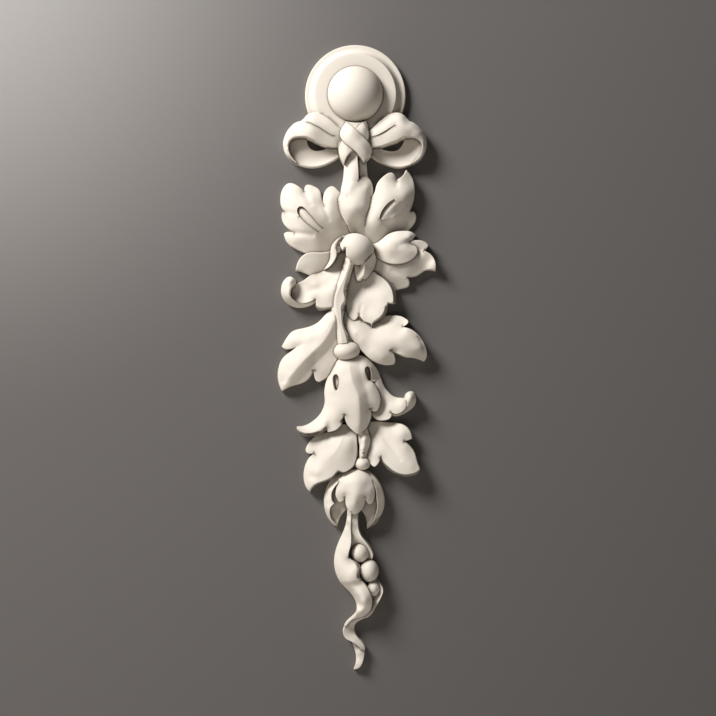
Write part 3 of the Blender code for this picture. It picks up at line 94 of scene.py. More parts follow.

# Sizes in the modelling code are millimetres, unless a comment says otherwise

# How closely the mesh points of a form stand
EDGE_STEP = 0.9  # along its outline
FILL_STEP = 1.3  # over its face, in a grid of triangles
ROW_RISE = math.sqrt(0.75)  # from one row of the grid to the next, in steps
LINE_STEP = 0.6  # along a carved line
LINE_SIDE = 0.8  # from a carved line to the rows beside it
EDGE_RINGS = (0.15, 0.5, 1.0, 1.6)  # rings inside the outline, in radii of its edge
RING_ROOM = 1.8  # a ring needs this many times its inset clear of the other side
RING_CLEAR = 0.7  # nearest that a ring comes to the outline, in insets of the first
FILL_CLEAR = 0.4  # from the last ring to the grid, in grid steps

# How the forms are finished off
SOFT_EDGE = 0.6  # radius of an edge, where a form gives no other
WALL_DRAFT = math.tan(math.radians(2))  # how walls flare towards the wall plane
ROOM_SHARE = 0.6  # share of the room outside an outline that a wall may flare into
BEHIND_WALL = 1.0  # how far a form goes on behind the wall plane, before it is cut
STEP_WALL = 0.2  # half the width of the wall of a step
SHEET_EASE = 1.0  # how readily a face eases off its given heights, 0 for not at all

# Guards against a division by nothing, and a distance past every size here
TINY = 1e-6
LOG_GUARD = 1e-9
LEVEL_GUARD = 1e-12
FAR_AWAY = 1e3

# The turned rosette, whose main sizes are properties
ROSETTE_SIDES = 160
RIM_ROUND = 1.0  # radius of the rim's outer edge
RIM_POINTS = 6  # points round that edge
RIM_FLAT = 2.4  # width of the flat between the rim's edge and the hollow
HOLLOW_POWER = 2.4  # how late the hollow climbs to the disc, 1 for a straight slope
HOLLOW_POINTS = 10
DISC_ROUND = 0.6  # radius of the disc's edge
DISC_START = 0.2  # the hollow ends where the quarter round starts, so this comes next
DISC_POINTS = 4
DISC_RINGS = (29.0, 26.0, 24.5, 23.6, 23.0, 22.6, 22.3, 21.0)  # closest at the boss
BOSS_SINK = 0.5  # how far the boss's widest section lies below the disc's face

# Beads
BEAD_SIDES = 64
BEAD_RINGS = 32
BEAD_FOOT = 2.0  # depth of the back half, in heights of the widest section off the wall

# The cutters of the gaps through the bow
OPENING_BACK = 6.0  # how far they reach behind the wall plane
OPENING_FRONT = 16.0  # and in front of it
OPENING_EASE = 0.3  # how far outside its outline a gap is cut

# Painted shade in the inner corners: a dark line where shade falls in each corner, and a paler,
# wider shade beside it
CREASE_ANGLE = math.radians(28)  # the least bend that counts as a corner
STEEP_SHARE = 0.5  # a corner that climbs by more than this share of its length is left out
PAINTED_CREASE_LINE_SHARE = 0.8  # strength of the dark line
PAINTED_SHADE_SHARE = 0.16  # strength and width of the paler shade beside it
PAINTED_SHADE_WIDTH = 4.0

# The casting's skin
SMOOTH_ANGLE = math.radians(50)  # sharper edges than this stay sharp
GRAIN_SIZE = 2.4
GRAIN_DEPTH = 0.4
GRAIN_STRENGTH = 0.12
GRAIN_DETAIL = 3.0
GRAIN_ROUGHNESS = 0.6
DRIFT_SIZE = 28.0  # of the slow drift between the two whites
DRIFT_DETAIL = 2.0
DRIFT_ROUGHNESS = 0.5
PRIMER_ROUGHNESS = 0.6
PRIMER_IOR = 1.5
PRIMER_SPECULAR = 0.25
PAINT_ROUGHNESS = 0.9  # of the wall and the floor
PAINT_SPECULAR = 0.1

# The cutter that leaves the back flat, and the stage, all in metres
CUTTER_SIZE = 1.0
ROOM_SIZE = 6.0
WALL_SET = 0.0005  # how far the wall stands in front of the casting's back
FLOOR_GAP = 0.12  # from the casting's lowest point down to the floor
LIGHT_CORNER = (-0.33, 0.0, 0.12)  # centre of the pool of light painted on the wall, where it is lightest
LIGHT_REACH = 0.40  # and how far from it the painted light reaches
FILL_STRENGTH = 0.04

# Each lamp: name, the side it shines from, distance and width in metres, watts
LAMPS = (
    ("key_light", (-0.60, -0.50, 0.54), 1.35, 0.6, 33.0),
    ("back_light", (0.30, 1.00, 0.40), 1.8, 1.0, 12.0),
)

# The camera's place, and the width of wall that it takes in, in metres
CAMERA_X = 0.00215
CAMERA_Z = -0.2093
CAMERA_DISTANCE = 1.271
VIEW_WIDTH = 0.5728

# The gaps through the bow's loops, as outlines on the wall
LEFT_OPENING = [
    (-39, -30.5, CORNER), (-38.5, -36), (-36.5, -41.5), (-33, -44), (-28, -44), (-23.5, -42.5),
    (-20.5, -39.5, CORNER), (-24, -34.5, CORNER), (-32, -30.5, CORNER),
]
RIGHT_OPENING = [
    (19, -41, CORNER), (22, -43), (25, -44), (29, -44.5), (32.5, -44), (35.5, -42),
    (37.5, -39), (39, -35), (39, -32, CORNER), (33, -31, CORNER), (26, -35, CORNER),
]


def spline_run(points, step):
    """Points about one step apart on the natural cubic spline through the given points."""
    points = np.array(points, dtype=float)
    lengths = np.linalg.norm(np.diff(points, axis=0), axis=1)
    knots = np.concatenate(([0.0], np.cumsum(lengths)))
    count = len(points)
    system = np.eye(count)
    rates = np.zeros((count, 2))
    for i in range(1, count - 1):
        before, after = lengths[i - 1], lengths[i]
        system[i, i - 1:i + 2] = (before, 2 * (before + after), after)
        rates[i] = 6 * ((points[i + 1] - points[i]) / after - (points[i] - points[i - 1]) / before)
    bends = np.linalg.solve(system, rates)
    samples = max(1, int(round(knots[-1] / step)))
    along = np.linspace(0.0, knots[-1], samples + 1)
    part = np.clip(np.searchsorted(knots, along, side="right") - 1, 0, count - 2)
    width = lengths[part][:, None]
    ahead = (along - knots[part])[:, None]
    left = width - ahead
    return (
        bends[part] * left ** 3 / (6 * width)
        + bends[part + 1] * ahead ** 3 / (6 * width)
        + (points[part] / width - bends[part] * width / 6) * left
        + (points[part + 1] / width - bends[part + 1] * width / 6) * ahead
    )


def trace_outline(edge):
    """A closed outline, counter-clockwise: smooth between the points marked CORNER."""
    places = [point[:2] for point in edge]
    corners = [i for i, point in enumerate(edge) if len(point) > 2]
    turned = places[corners[0]:] + places[:corners[0]]
    marks = [corner - corners[0] for corner in corners] + [len(places)]
    turned.append(turned[0])
    runs = [spline_run(turned[a:b + 1], EDGE_STEP)[:-1] for a, b in zip(marks, marks[1:])]
    outline = np.concatenate(runs)
    following = np.roll(outline, -1, axis=0)
    area = np.sum(outline[:, 0] * following[:, 1] - following[:, 0] * outline[:, 1])
    return outline if area > 0 else outline[::-1]


def outward_normals(outline):
    """The direction straight out of a counter-clockwise outline at each of its points."""
    along = np.roll(outline, -1, axis=0) - np.roll(outline, 1, axis=0)
    normals = np.stack((along[:, 1], -along[:, 0]), axis=1)
    return normals / np.linalg.norm(normals, axis=1)[:, None]


def clear_reach(outline, normals):
    """How far each outline point can move along its normal before it meets the outline."""
    gap = outline[None, :, :] - outline[:, None, :]
    facing = np.einsum("ijk,ik->ij", gap, normals)
    square = np.sum(gap ** 2, axis=2)
    reach = np.where(facing > TINY, square / (2 * np.maximum(facing, TINY)), FAR_AWAY)
    return reach.min(axis=1)


def distance_to(line, points, closed=False):
    """How far points are from a line, where along it (0 to 1), and on which side (+ left)."""
    line = np.array(line, dtype=float)
    starts = line if closed else line[:-1]
    ends = np.roll(line, -1, axis=0) if closed else line[1:]
    along = ends - starts
    lengths = np.linalg.norm(along, axis=1)
    offset = points[:, None, :] - starts[None, :, :]
    share = np.clip(np.einsum("ijk,jk->ij", offset, along) / lengths ** 2, 0.0, 1.0)
    away = offset - share[:, :, None] * along[None, :, :]
    apart = np.linalg.norm(away, axis=2)
    nearest = apart.argmin(axis=1)
    rows = np.arange(len(points))
    begun = np.concatenate(([0.0], np.cumsum(lengths)))[nearest]
    met = (begun + share[rows, nearest] * lengths[nearest]) / lengths.sum()
    step = along[nearest]
    off = offset[rows, nearest]
    side = np.sign(step[:, 0] * off[:, 1] - step[:, 1] * off[:, 0])
    return apart[rows, nearest], met, side


def inside_outline(outline, points):
    """Which points lie inside an outline: a ray from one crosses it an odd number of times."""
    following = np.roll(outline, -1, axis=0)
    x, z = points[:, 0][:, None], points[:, 1][:, None]
    crosses = (outline[None, :, 1] > z) != (following[None, :, 1] > z)
    rise = following[:, 1] - outline[:, 1]
    rise = np.where(rise == 0, LEVEL_GUARD, rise)
    at = (following[:, 0] - outline[:, 0]) * (z - outline[:, 1]) / rise + outline[:, 0]
    return np.sum(crosses & (x < at), axis=1) % 2 == 1


def sheet_through(spots):
    """The smooth sheet (thin-plate spline) whose height is known at the given spots."""
    spots = np.array(spots, dtype=float)
    places, heights = spots[:, :2], spots[:, 2]
    count = len(spots)

    def bend(points):
        square = np.sum((points[:, None, :] - places[None, :, :]) ** 2, axis=2)
        return square * np.log(square + LOG_GUARD)

    system = np.zeros((count + 3, count + 3))
    system[:count, :count] = bend(places) + SHEET_EASE * np.eye(count)
    system[:count, count] = 1.0
    system[:count, count + 1:] = places
    system[count:, :count] = system[:count, count:].T
    weights = np.linalg.solve(system, np.concatenate((heights, np.zeros(3))))

    def height(points):
        flat = weights[count] + points @ weights[count + 1:]
        return bend(points) @ weights[:count] + flat

    return height


def dome_over(x, z, radius_x, radius_z, middle, top):
    """The front half of an egg whose widest section is at the height called middle."""

    def height(points):
        share = ((points[:, 0] - x) / radius_x) ** 2 + ((points[:, 1] - z) / radius_z) ** 2
        return middle + (top - middle) * np.sqrt(np.clip(1.0 - share, 0.0, 1.0))

    return height


def fade_at_ends(met, power=0.5):
    """1 at the middle of a cut, falling to 0 at both its ends; a high power narrows it."""
    rise = np.sin(np.pi * met).clip(0.0, 1.0) ** power
    return np.where(met * (1.0 - met) < TINY, 0.0, rise)


def fill_points(outline, step, margin):
    """A triangular grid of points inside an outline, kept clear of its rim."""
    low, high = outline.min(axis=0), outline.max(axis=0)
    rows = []
    for row, z in enumerate(np.arange(low[1], high[1], step * ROW_RISE)):
        xs = np.arange(low[0] + (row % 2) * step / 2, high[0], step)
        rows.append(np.stack((xs, np.full(len(xs), z)), axis=1))
    grid = np.concatenate(rows)
    grid = grid[inside_outline(outline, grid)]
    return grid[distance_to(outline, grid, True)[0] > margin]


def thinned(points, clear, gap):
    """The points that lie further than gap from every one of the points in clear."""
    if not len(points) or not len(clear):
        return points
    square = np.sum((points[:, None, :] - clear[None, :, :]) ** 2, axis=2)
    return points[square.min(axis=1) > gap * gap]


def line_points(lines):
    """Rows of points on and just beside each carved line, for the mesh to follow it."""
    found = []
    for line, sharp in lines:
        run = spline_run(line, LINE_STEP)
        along = np.gradient(run, axis=0)
        normals = np.stack((-along[:, 1], along[:, 0]), axis=1)
        normals /= np.linalg.norm(normals, axis=1)[:, None]
        offsets = (-STEP_WALL, STEP_WALL) if sharp else (0.0,)
        for offset in (*offsets, -LINE_SIDE, LINE_SIDE):
            found.append(run + normals * offset)
    return found


def solid_from(name, points, faces):
    """An object from mesh points in millimetres and the faces between them."""
    mesh = bpy.data.meshes.new(name)
    mesh.from_pydata([Vector(point) * MM for point in points], [], faces)
    solid = bpy.data.objects.new(name, mesh)
    bpy.context.scene.collection.objects.link(solid)
    return solid


def carve(
    name, edge, spots=(), grooves=(), steps=(), banks=(), pockets=(), soft=SOFT_EDGE, dome=None
):
    """One carved form: a lobed outline, a modelled face, rounded edges and drafted walls.

    spots are (x, z, height) places that the face passes through.  A groove is a line
    with a depth and a width, and is a ridge where its depth is negative.  A step drops
    sharply on one side of its line ("left" or "right", going along it) and climbs back.
    A bank slopes down on one side of its line, by a depth over a run, and stays down.
    A pocket is a closed outline sunk by a depth, over a run measured in from its edge.
    """
    outline = trace_outline(edge)
    normals = outward_normals(outline)
    base = dome_over(*dome) if dome else sheet_through(spots)

    inward = clear_reach(outline, -normals)
    rings = []
    for share in EDGE_RINGS:
        inset = share * soft
        rings.append((outline - normals * inset)[inward > RING_ROOM * inset])
    lines = [(line, False) for line, *_ in (*grooves, *banks)]
    lines += [(line, True) for line, *_ in steps]
    lines += [((*line, line[0]), True) for line, *_ in pockets]
    rows = line_points(lines)
    rows = np.concatenate(rows) if rows else np.zeros((0, 2))
    if len(rows):
        rows = rows[inside_outline(outline, rows)]
        rows = rows[distance_to(outline, rows, True)[0] > soft * EDGE_RINGS[-1]]
    grid = fill_points(outline, FILL_STEP, soft * EDGE_RINGS[-1] + FILL_STEP * FILL_CLEAR)
    grid = thinned(grid, rows, LINE_STEP)
    rings = np.concatenate(rings)
    rings = rings[inside_outline(outline, rings)]
    rings = rings[distance_to(outline, rings, True)[0] > soft * EDGE_RINGS[0] * RING_CLEAR]
    others = np.concatenate((rings, rows, grid))

    loop = list(range(len(outline)))
    flat = [Vector(point) for point in np.concatenate((outline, others))]
    result = delaunay_2d_cdt(flat, [], [loop], 1, TINY)
    places = np.array([tuple(point) for point in result[0]])
    faces = [tuple(face) for face in result[2]]
    count = len(outline)
    at_rim = {}
    for i, source in enumerate(result[3]):
        for j in source:
            if j < count:
                at_rim[j] = i
    rim = [at_rim[j] for j in range(count)]

    heights = base(places)
    for line, depth, width in grooves:
        apart, met, _ = distance_to(spline_run(line, LINE_STEP), places)
        heights -= depth * fade_at_ends(met) * np.exp(-(apart / width) ** 2)
    for line, depth, width, side, power in steps:
        apart, met, on = distance_to(spline_run(line, LINE_STEP), places)
        signed = apart * on * (1 if side == "left" else -1)
        share = np.clip((signed + STEP_WALL) / (2 * STEP_WALL), 0.0, 1.0)
        share = share * np.exp(-np.maximum(signed, 0) / width)
        heights -= depth * share * fade_at_ends(met, power)
    for line, depth, run, side, power in banks:
        apart, met, on = distance_to(spline_run(line, LINE_STEP), places)
        signed = apart * on * (1 if side == "left" else -1)
        heights -= depth * np.clip(signed / run, 0.0, 1.0) * fade_at_ends(met, power)
    for line, depth, run in pockets:
        rim_line = spline_run((*line, line[0]), LINE_STEP)
        share = np.clip(distance_to(rim_line, places)[0] / run, 0.0, 1.0)
        heights -= depth * share * inside_outline(rim_line, places)
    reach = np.minimum(distance_to(outline, places, True)[0], soft)
    reach[rim] = 0.0
    heights -= soft - np.sqrt(soft ** 2 - (soft - reach) ** 2)

    flare = (heights[rim] + BEHIND_WALL) * WALL_DRAFT
    flare = np.minimum(flare, ROOM_SHARE * clear_reach(outline, normals))
    points = [(x, -h, z) for (x, z), h in zip(places, heights)]
    foot = len(points)
    points += [(x, BEHIND_WALL, z) for x, z in outline + normals * flare[:, None]]
    for j in range(count):
        k = (j + 1) % count
        faces.append((rim[k], rim[j], foot + j, foot + k))
    faces.append(tuple(reversed(range(foot, foot + count))))
    return solid_from(name, points, faces)


def deselect():
    """Leaves nothing selected, so that an operator acts only on what comes next."""
    bpy.ops.object.select_all(action="DESELECT")


def make_active(piece):
    """Selects one piece and nothing else, for the operators and modifiers that follow."""
    deselect()
    piece.select_set(True)
    bpy.context.view_layer.objects.active = piece


def bead(name, x, z, radius_x, radius_z, middle, top, turn=0.0):
    """A bead whose widest section stands at the height called middle.

    Its back half is drawn out past the wall plane, so that it narrows only a little
    between the widest section and the wall.
    """
    deselect()
    bpy.ops.mesh.primitive_uv_sphere_add(
        segments=BEAD_SIDES, ring_count=BEAD_RINGS, radius=MM,
        location=(x * MM, -middle * MM, z * MM),
        rotation=(math.radians(90), math.radians(turn), 0),
    )
    piece = bpy.context.active_object
    piece.name = name
    piece.scale = (radius_x, radius_z, top - middle)
    bpy.ops.object.transform_apply(location=True, rotation=True, scale=True)
    bpy.ops.object.mode_set(mode="EDIT")
    form = bmesh.from_edit_mesh(piece.data)
    for vertex in form.verts:
        vertex.select_set(vertex.co.y > -middle * MM)
    bmesh.update_edit_mesh(piece.data)
    bpy.ops.transform.resize(
        value=(1.0, BEAD_FOOT * middle / (top - middle), 1.0),
        center_override=(x * MM, -middle * MM, z * MM),
    )
    bpy.ops.object.mode_set(mode="OBJECT")
    return piece


def turned(name, profile, sides):
    """A form turned about the Y axis: a ring extruded from (radius, height) to the next."""
    deselect()
    radius, height = profile[0]
    bpy.ops.mesh.primitive_circle_add(
        vertices=sides, radius=radius * MM, fill_type="NGON",
        location=(0.0, -height * MM, 0.0), rotation=(math.radians(90), 0, 0),
    )
    piece = bpy.context.active_object
    piece.name = name
    bpy.ops.object.transform_apply(location=True, rotation=True, scale=True)
    bpy.ops.object.mode_set(mode="EDIT")
    bpy.ops.mesh.select_all(action="SELECT")
    for next_radius, next_height in profile[1:]:
        bpy.ops.mesh.extrude_region_move(
            TRANSFORM_OT_translate={"value": (0.0, (height - next_height) * MM, 0.0)}
        )
        ratio = next_radius / radius
        bpy.ops.transform.resize(
            value=(ratio, 1.0, ratio), center_override=(0.0, -next_height * MM, 0.0)
        )
        radius, height = next_radius, next_height
    bpy.ops.mesh.poke()
    bpy.ops.mesh.select_all(action="SELECT")
    bpy.ops.mesh.normals_make_consistent(inside=False)
    bpy.ops.object.mode_set(mode="OBJECT")
    return piece


def join_solids(target, others, operation):
    """Applies one Boolean of the target with all the others, which it uses up."""
    group = bpy.data.collections.new("operands")
    for other in others:
        group.objects.link(other)
    boolean = target.modifiers.new("Boolean", "BOOLEAN")
    boolean.operation = operation
    boolean.solver = "MANIFOLD"
    boolean.operand_type = "COLLECTION"
    boolean.collection = group
    make_active(target)
    bpy.ops.object.modifier_apply(modifier=boolean.name)
    for other in others:
        bpy.data.objects.remove(other, do_unlink=True)
    bpy.data.collections.remove(group)
    return target


def bow():
    """Two ribbon loops, each a hollow lower half with a pleated band across it."""
    yield carve("left_bow_bowl", edge=[
        (-9.8, -42.4, CORNER), (-13.6, -49.2), (-20.2, -53.6), (-25.8, -56), (-42.6, -56.4),
        (-54.6, -47.4), (-55.4, -43.8), (-53.4, -33.8), (-48.6, -29.8, CORNER), (-36, -29),
        (-24, -33.8), (-9.8, -37, CORNER),
    ], spots=[
        (-9.8, -41, 9), (-13.8, -49.4, 9), (-20, -54, 9), (-28, -57.2, 9), (-40.8, -57.2, 9.5),
        (-46.8, -54.6, 9.5), (-51, -51.2, 9.5), (-54.6, -43.2, 8), (-50.4, -31.8, 7),
        (-16.2, -36.6, 6.5), (-45.6, -49, 8), (-43.2, -42.2, 7.5), (-40.8, -46.2, 7.5),
        (-40, -51.4, 7.5), (-34.4, -47.8, 7), (-33.6, -53.4, 7.5), (-28, -45.8, 6.5),
        (-27.2, -51.8, 7), (-21.8, -43, 6.5), (-21, -48.6, 7), (-15.4, -47, 7.5),
    ])
    yield carve("left_bow_band", edge=[
        (-9, -30.2, CORNER), (-14.4, -26), (-17.6, -23), (-25.6, -17.2), (-31, -15),
        (-34.6, -15.2), (-37.2, -16), (-40.8, -19.6), (-43.2, -21.6, CORNER), (-47.8, -22.8),
        (-51.6, -26), (-54.6, -30), (-56.6, -34.8), (-57.4, -39.4), (-52, -51),
        (-47.8, -54.2, CORNER), (-45.8, -54.8, CORNER), (-50.6, -49.4), (-53, -41.8),
        (-52.2, -38.4), (-49.8, -35.8), (-46, -34.6), (-36.6, -35.4), (-27.8, -39.8), (-16, -42.4),
        (-9, -42.2, CORNER),
    ], spots=[
        (-37.2, -16, 13.5), (-34.2, -15.4, 15), (-29.4, -15.6, 15.5), (-21.6, -20.2, 16.5),
        (-13.6, -26.8, 16), (-9, -30.2, 15), (-43, -21.8, 13.5), (-39.8, -19.4, 14),
        (-35, -19.8, 17), (-28.6, -21.6, 18), (-22.2, -25.6, 18.5), (-16, -30.4, 18),
        (-10.4, -33.2, 16.5), (-47.8, -23.2, 11.5), (-51.4, -26.4, 11), (-54.4, -30, 10.5),
        (-56.4, -34.8, 10.5), (-57.2, -39.4, 10.5), (-56.4, -44.2, 10.5), (-50.4, -33.6, 17),
        (-53.6, -36.6, 16), (-55, -40.6, 15), (-54.8, -44.6, 14.5), (-53, -48.6, 14),
        (-52.4, -45.6, 14.5), (-50, -49.8, 13.5), (-46.2, -53.8, 13), (-52.8, -41.8, 15),
        (-51.6, -37.8, 16), (-49.2, -28.2, 15), (-45.2, -27.8, 16.5), (-36.4, -28.2, 20),
        (-33.2, -29.4, 20.5), (-46, -32.6, 17.5), (-41.2, -33, 19), (-24.6, -33.6, 18.5),
        (-20, -35.6, 17.5), (-30.2, -37.8, 18.5), (-25.4, -40.2, 17), (-13.6, -42, 14.5),
        (-10.4, -37.8, 15), (-47.4, -54.4, 11), (-49.6, -52.4, 12),
    ], steps=[
        ([(-40.4, -22.6), (-36.4, -23.4), (-31.8, -25.6), (-28.2, -27.4), (-25.4, -29.2),
          (-22.2, -31.2), (-18.8, -33.2), (-15.2, -34.2)], 1.3, 6.0, "right", 0.9),
    ], soft=0.5)
    yield carve("right_bow_bowl", edge=[
        (8.6, -42.4, CORNER), (13.2, -49.2), (21.4, -54.2), (34.2, -57.6), (40.6, -56.8),
        (46.2, -54.8), (52.8, -48.2), (54.2, -42.4), (52.2, -33.4), (47.4, -30.6, CORNER),
        (37.8, -29.8), (27.6, -33), (10, -37, CORNER),
    ], spots=[
        (10, -40.8, 8.5), (13.2, -49.2, 9), (16.4, -52.2, 9), (21.2, -54.8, 9), (34, -58, 9.5),
        (45.4, -55.4, 10), (49.2, -52.6, 10.5), (52.2, -48.4, 11), (53.6, -42.8, 11),
        (53.4, -37.2, 11), (26, -34.2, 6.5), (16.4, -38.2, 7), (16.4, -44.6, 7), (24.4, -45, 6.5),
        (38.8, -42.2, 6.5), (41.2, -36.6, 6.5), (45.2, -34.8, 7.5), (45.8, -40.6, 7.5),
        (43.6, -45.4, 7), (49.8, -42.6, 9.5), (47.4, -47.2, 9), (34, -51.8, 7), (22.8, -52.4, 7.5),
    ])
    yield carve("right_bow_band", edge=[
        (6.8, -30.2, CORNER), (10, -29.8), (12.4, -28.4), (19.2, -21.8), (22.8, -19),
        (26.6, -16.4), (37.4, -16.2), (40.4, -19), (43, -21.8, CORNER), (45.6, -22.6),
        (48.8, -24.6), (56.6, -36), (50.6, -51.8), (46.6, -54.6, CORNER), (44.8, -55.2, CORNER),
        (49.2, -50), (51.6, -46.4), (52.4, -39.4), (47.8, -35.2), (44, -34.6), (36.2, -35.6),
        (32.6, -37.6), (28.2, -39), (22.8, -41), (6.8, -42.2, CORNER),
    ], spots=[
        (6.8, -30.2, 14.5), (12.4, -28.6, 14), (15.6, -25.6, 14), (19.6, -21.8, 14),
        (23.6, -18.6, 14), (31.4, -15.6, 14.5), (40.2, -19.2, 14), (43.2, -22, 14),
        (11.6, -32.2, 15.5), (16.4, -30, 16.5), (21, -27, 17.5), (26.6, -23.2, 18),
        (32.2, -20.2, 18.5), (36.8, -20, 18), (32, -23.8, 19), (38.4, -23.2, 19),
        (45.6, -22.8, 13.5), (48.8, -25, 13), (52, -28, 12), (54.6, -31.8, 11),
        (56.2, -36.2, 10.5), (56.6, -40.2, 10.5), (44, -26.8, 18.5), (48, -28.6, 17),
        (51.2, -31.2, 16), (53.6, -34.6, 14.5), (54.6, -38.4, 14), (54.4, -42.6, 13.5),
        (53.4, -46.4, 13), (51, -50.2, 13), (53, -42.4, 14), (52.4, -46, 13.5), (50, -49.4, 13),
        (53, -38.2, 14.5), (51, -35.2, 15.5), (33.6, -30.2, 20), (28.2, -32.8, 19.5),
        (22.6, -35.4, 18), (16.4, -37.6, 16.5), (44, -32.8, 18), (39.2, -33.4, 19),
        (22.6, -40.4, 17), (10, -41.6, 14), (46, -55, 11), (47, -53.8, 11.5),
    ], steps=[
        ([(12.4, -34.8), (16.8, -33.6), (21, -31.6), (25, -29.4), (28.6, -27.2), (32.6, -25.4)],
         1.3, 6.0, "right", 0.9),
    ], soft=0.5)


def knot():
    """The crossed bands that gather the bow."""
    yield carve("knot_core", edge=[
        (-7.8, -22.2, CORNER), (5.4, -23), (8.4, -22, CORNER), (10.2, -27), (10.8, -32.4),
        (11.2, -42), (8.4, -47.4, CORNER), (-7.4, -46.8, CORNER), (-12.4, -45.2), (-11, -31),
    ], spots=[
        (-7.4, -23, 16.5), (-0.2, -23.8, 17), (7.6, -23, 16.5), (0.6, -28.8, 18.5),
        (-10.8, -33.2, 16), (10.4, -33.2, 16), (-0.2, -39, 19), (-12, -44, 15), (10, -42.6, 15.5),
        (-4.2, -45.6, 14), (5.4, -46.4, 14),
    ])
    yield carve("knot_right_band", edge=[
        (6, -23, CORNER), (9.4, -27.8), (10.8, -32.2), (10.4, -37.4, CORNER), (5.2, -41.6, CORNER),
        (-3.4, -33, CORNER),
    ], spots=[
        (6, -22.8, 18.5), (10, -29.6, 18.5), (10.4, -37.2, 18.5), (1.4, -29.8, 20.5),
        (5.2, -33, 21), (6.8, -28.2, 20.5), (5.2, -41.6, 20), (-3.4, -33, 20),
    ])
    yield carve("knot_left_band", edge=[
        (-10.4, -38.2, CORNER), (-13, -43), (-12, -50), (-8.8, -56.2, CORNER), (-6.8, -51),
        (-0.6, -45, CORNER), (-2.6, -36, CORNER),
    ], spots=[
        (-12.8, -45.2, 17), (-9, -55.4, 16.5), (-6.6, -43.4, 21.5), (-6.6, -48.8, 21),
        (-1.8, -44.8, 21), (-2.6, -36.2, 21),
    ])
    yield carve("knot_front_band", edge=[
        (-7.2, -23.4, CORNER), (9, -38.2), (12.4, -42.8), (13, -47), (11.8, -48.8), (9.2, -51.6),
        (6.8, -55.2, CORNER), (2.8, -49.4), (-2.8, -44.4), (-10.4, -37.4), (-12, -33.8),
    ], spots=[
        (-7.2, -23.4, 20), (-11.2, -32.2, 20.5), (-10.4, -37, 21.5), (-4.2, -28, 23.5),
        (-5.6, -33.6, 25), (0.6, -36.8, 25.5), (-2.6, -44, 23.5), (5.2, -35.4, 23.5),
        (4.6, -42.2, 25), (12.4, -46.4, 20.5), (8.4, -48.2, 23), (6.8, -54.2, 20.5),
        (3.8, -50.2, 22.5),
    ])


def upper_stem():
    """The two ribbon ends that run down from the knot to the flower."""
    yield carve("upper_stem", edge=[
        (-1.4, -44, CORNER), (-8.4, -53.2), (-8.8, -56.8), (-9.8, -68), (-11, -73.4),
        (-12, -79.4, CORNER), (-11.4, -88.8, CORNER), (1.4, -88.8, CORNER), (2.8, -68.2),
        (2.2, -56.4), (1.8, -50.8), (1.8, -45.2, CORNER),
    ], spots=[
        (-4.2, -47.6, 13.5), (-8.6, -60.2, 11.5), (-9.8, -68.2, 11), (-11, -74.4, 9.5),
        (-11.4, -85.6, 4), (-1.4, -46.6, 16.5), (-3, -53.8, 16.5), (-3.4, -61.6, 16.5),
        (-3.6, -68, 16.5), (-4.2, -74.2, 15.5), (-5, -79.4, 12), (1.8, -48.4, 17.5),
        (2.2, -56.2, 18), (2.4, -64.2, 17.5), (2.2, -70.4, 16.5), (0.6, -77.6, 11),
        (0.6, -85.8, 5),
    ], soft=0.5)
    yield carve("upper_stem_right", edge=[
        (3.2, -45.6, CORNER), (8.2, -52), (9, -57.4), (11.6, -77.4, CORNER), (3.4, -77.4, CORNER),
        (3.4, -61.6),
    ], spots=[
        (3.6, -49.2, 12.5), (3.8, -60.4, 12.5), (4, -74.2, 9), (6.2, -50.8, 12.5),
        (6.4, -58.8, 12.5), (7, -66.6, 12), (8.2, -53.8, 10.5), (8.8, -60.2, 10), (9.6, -68, 9.5),
        (9.4, -75.6, 7),
    ])


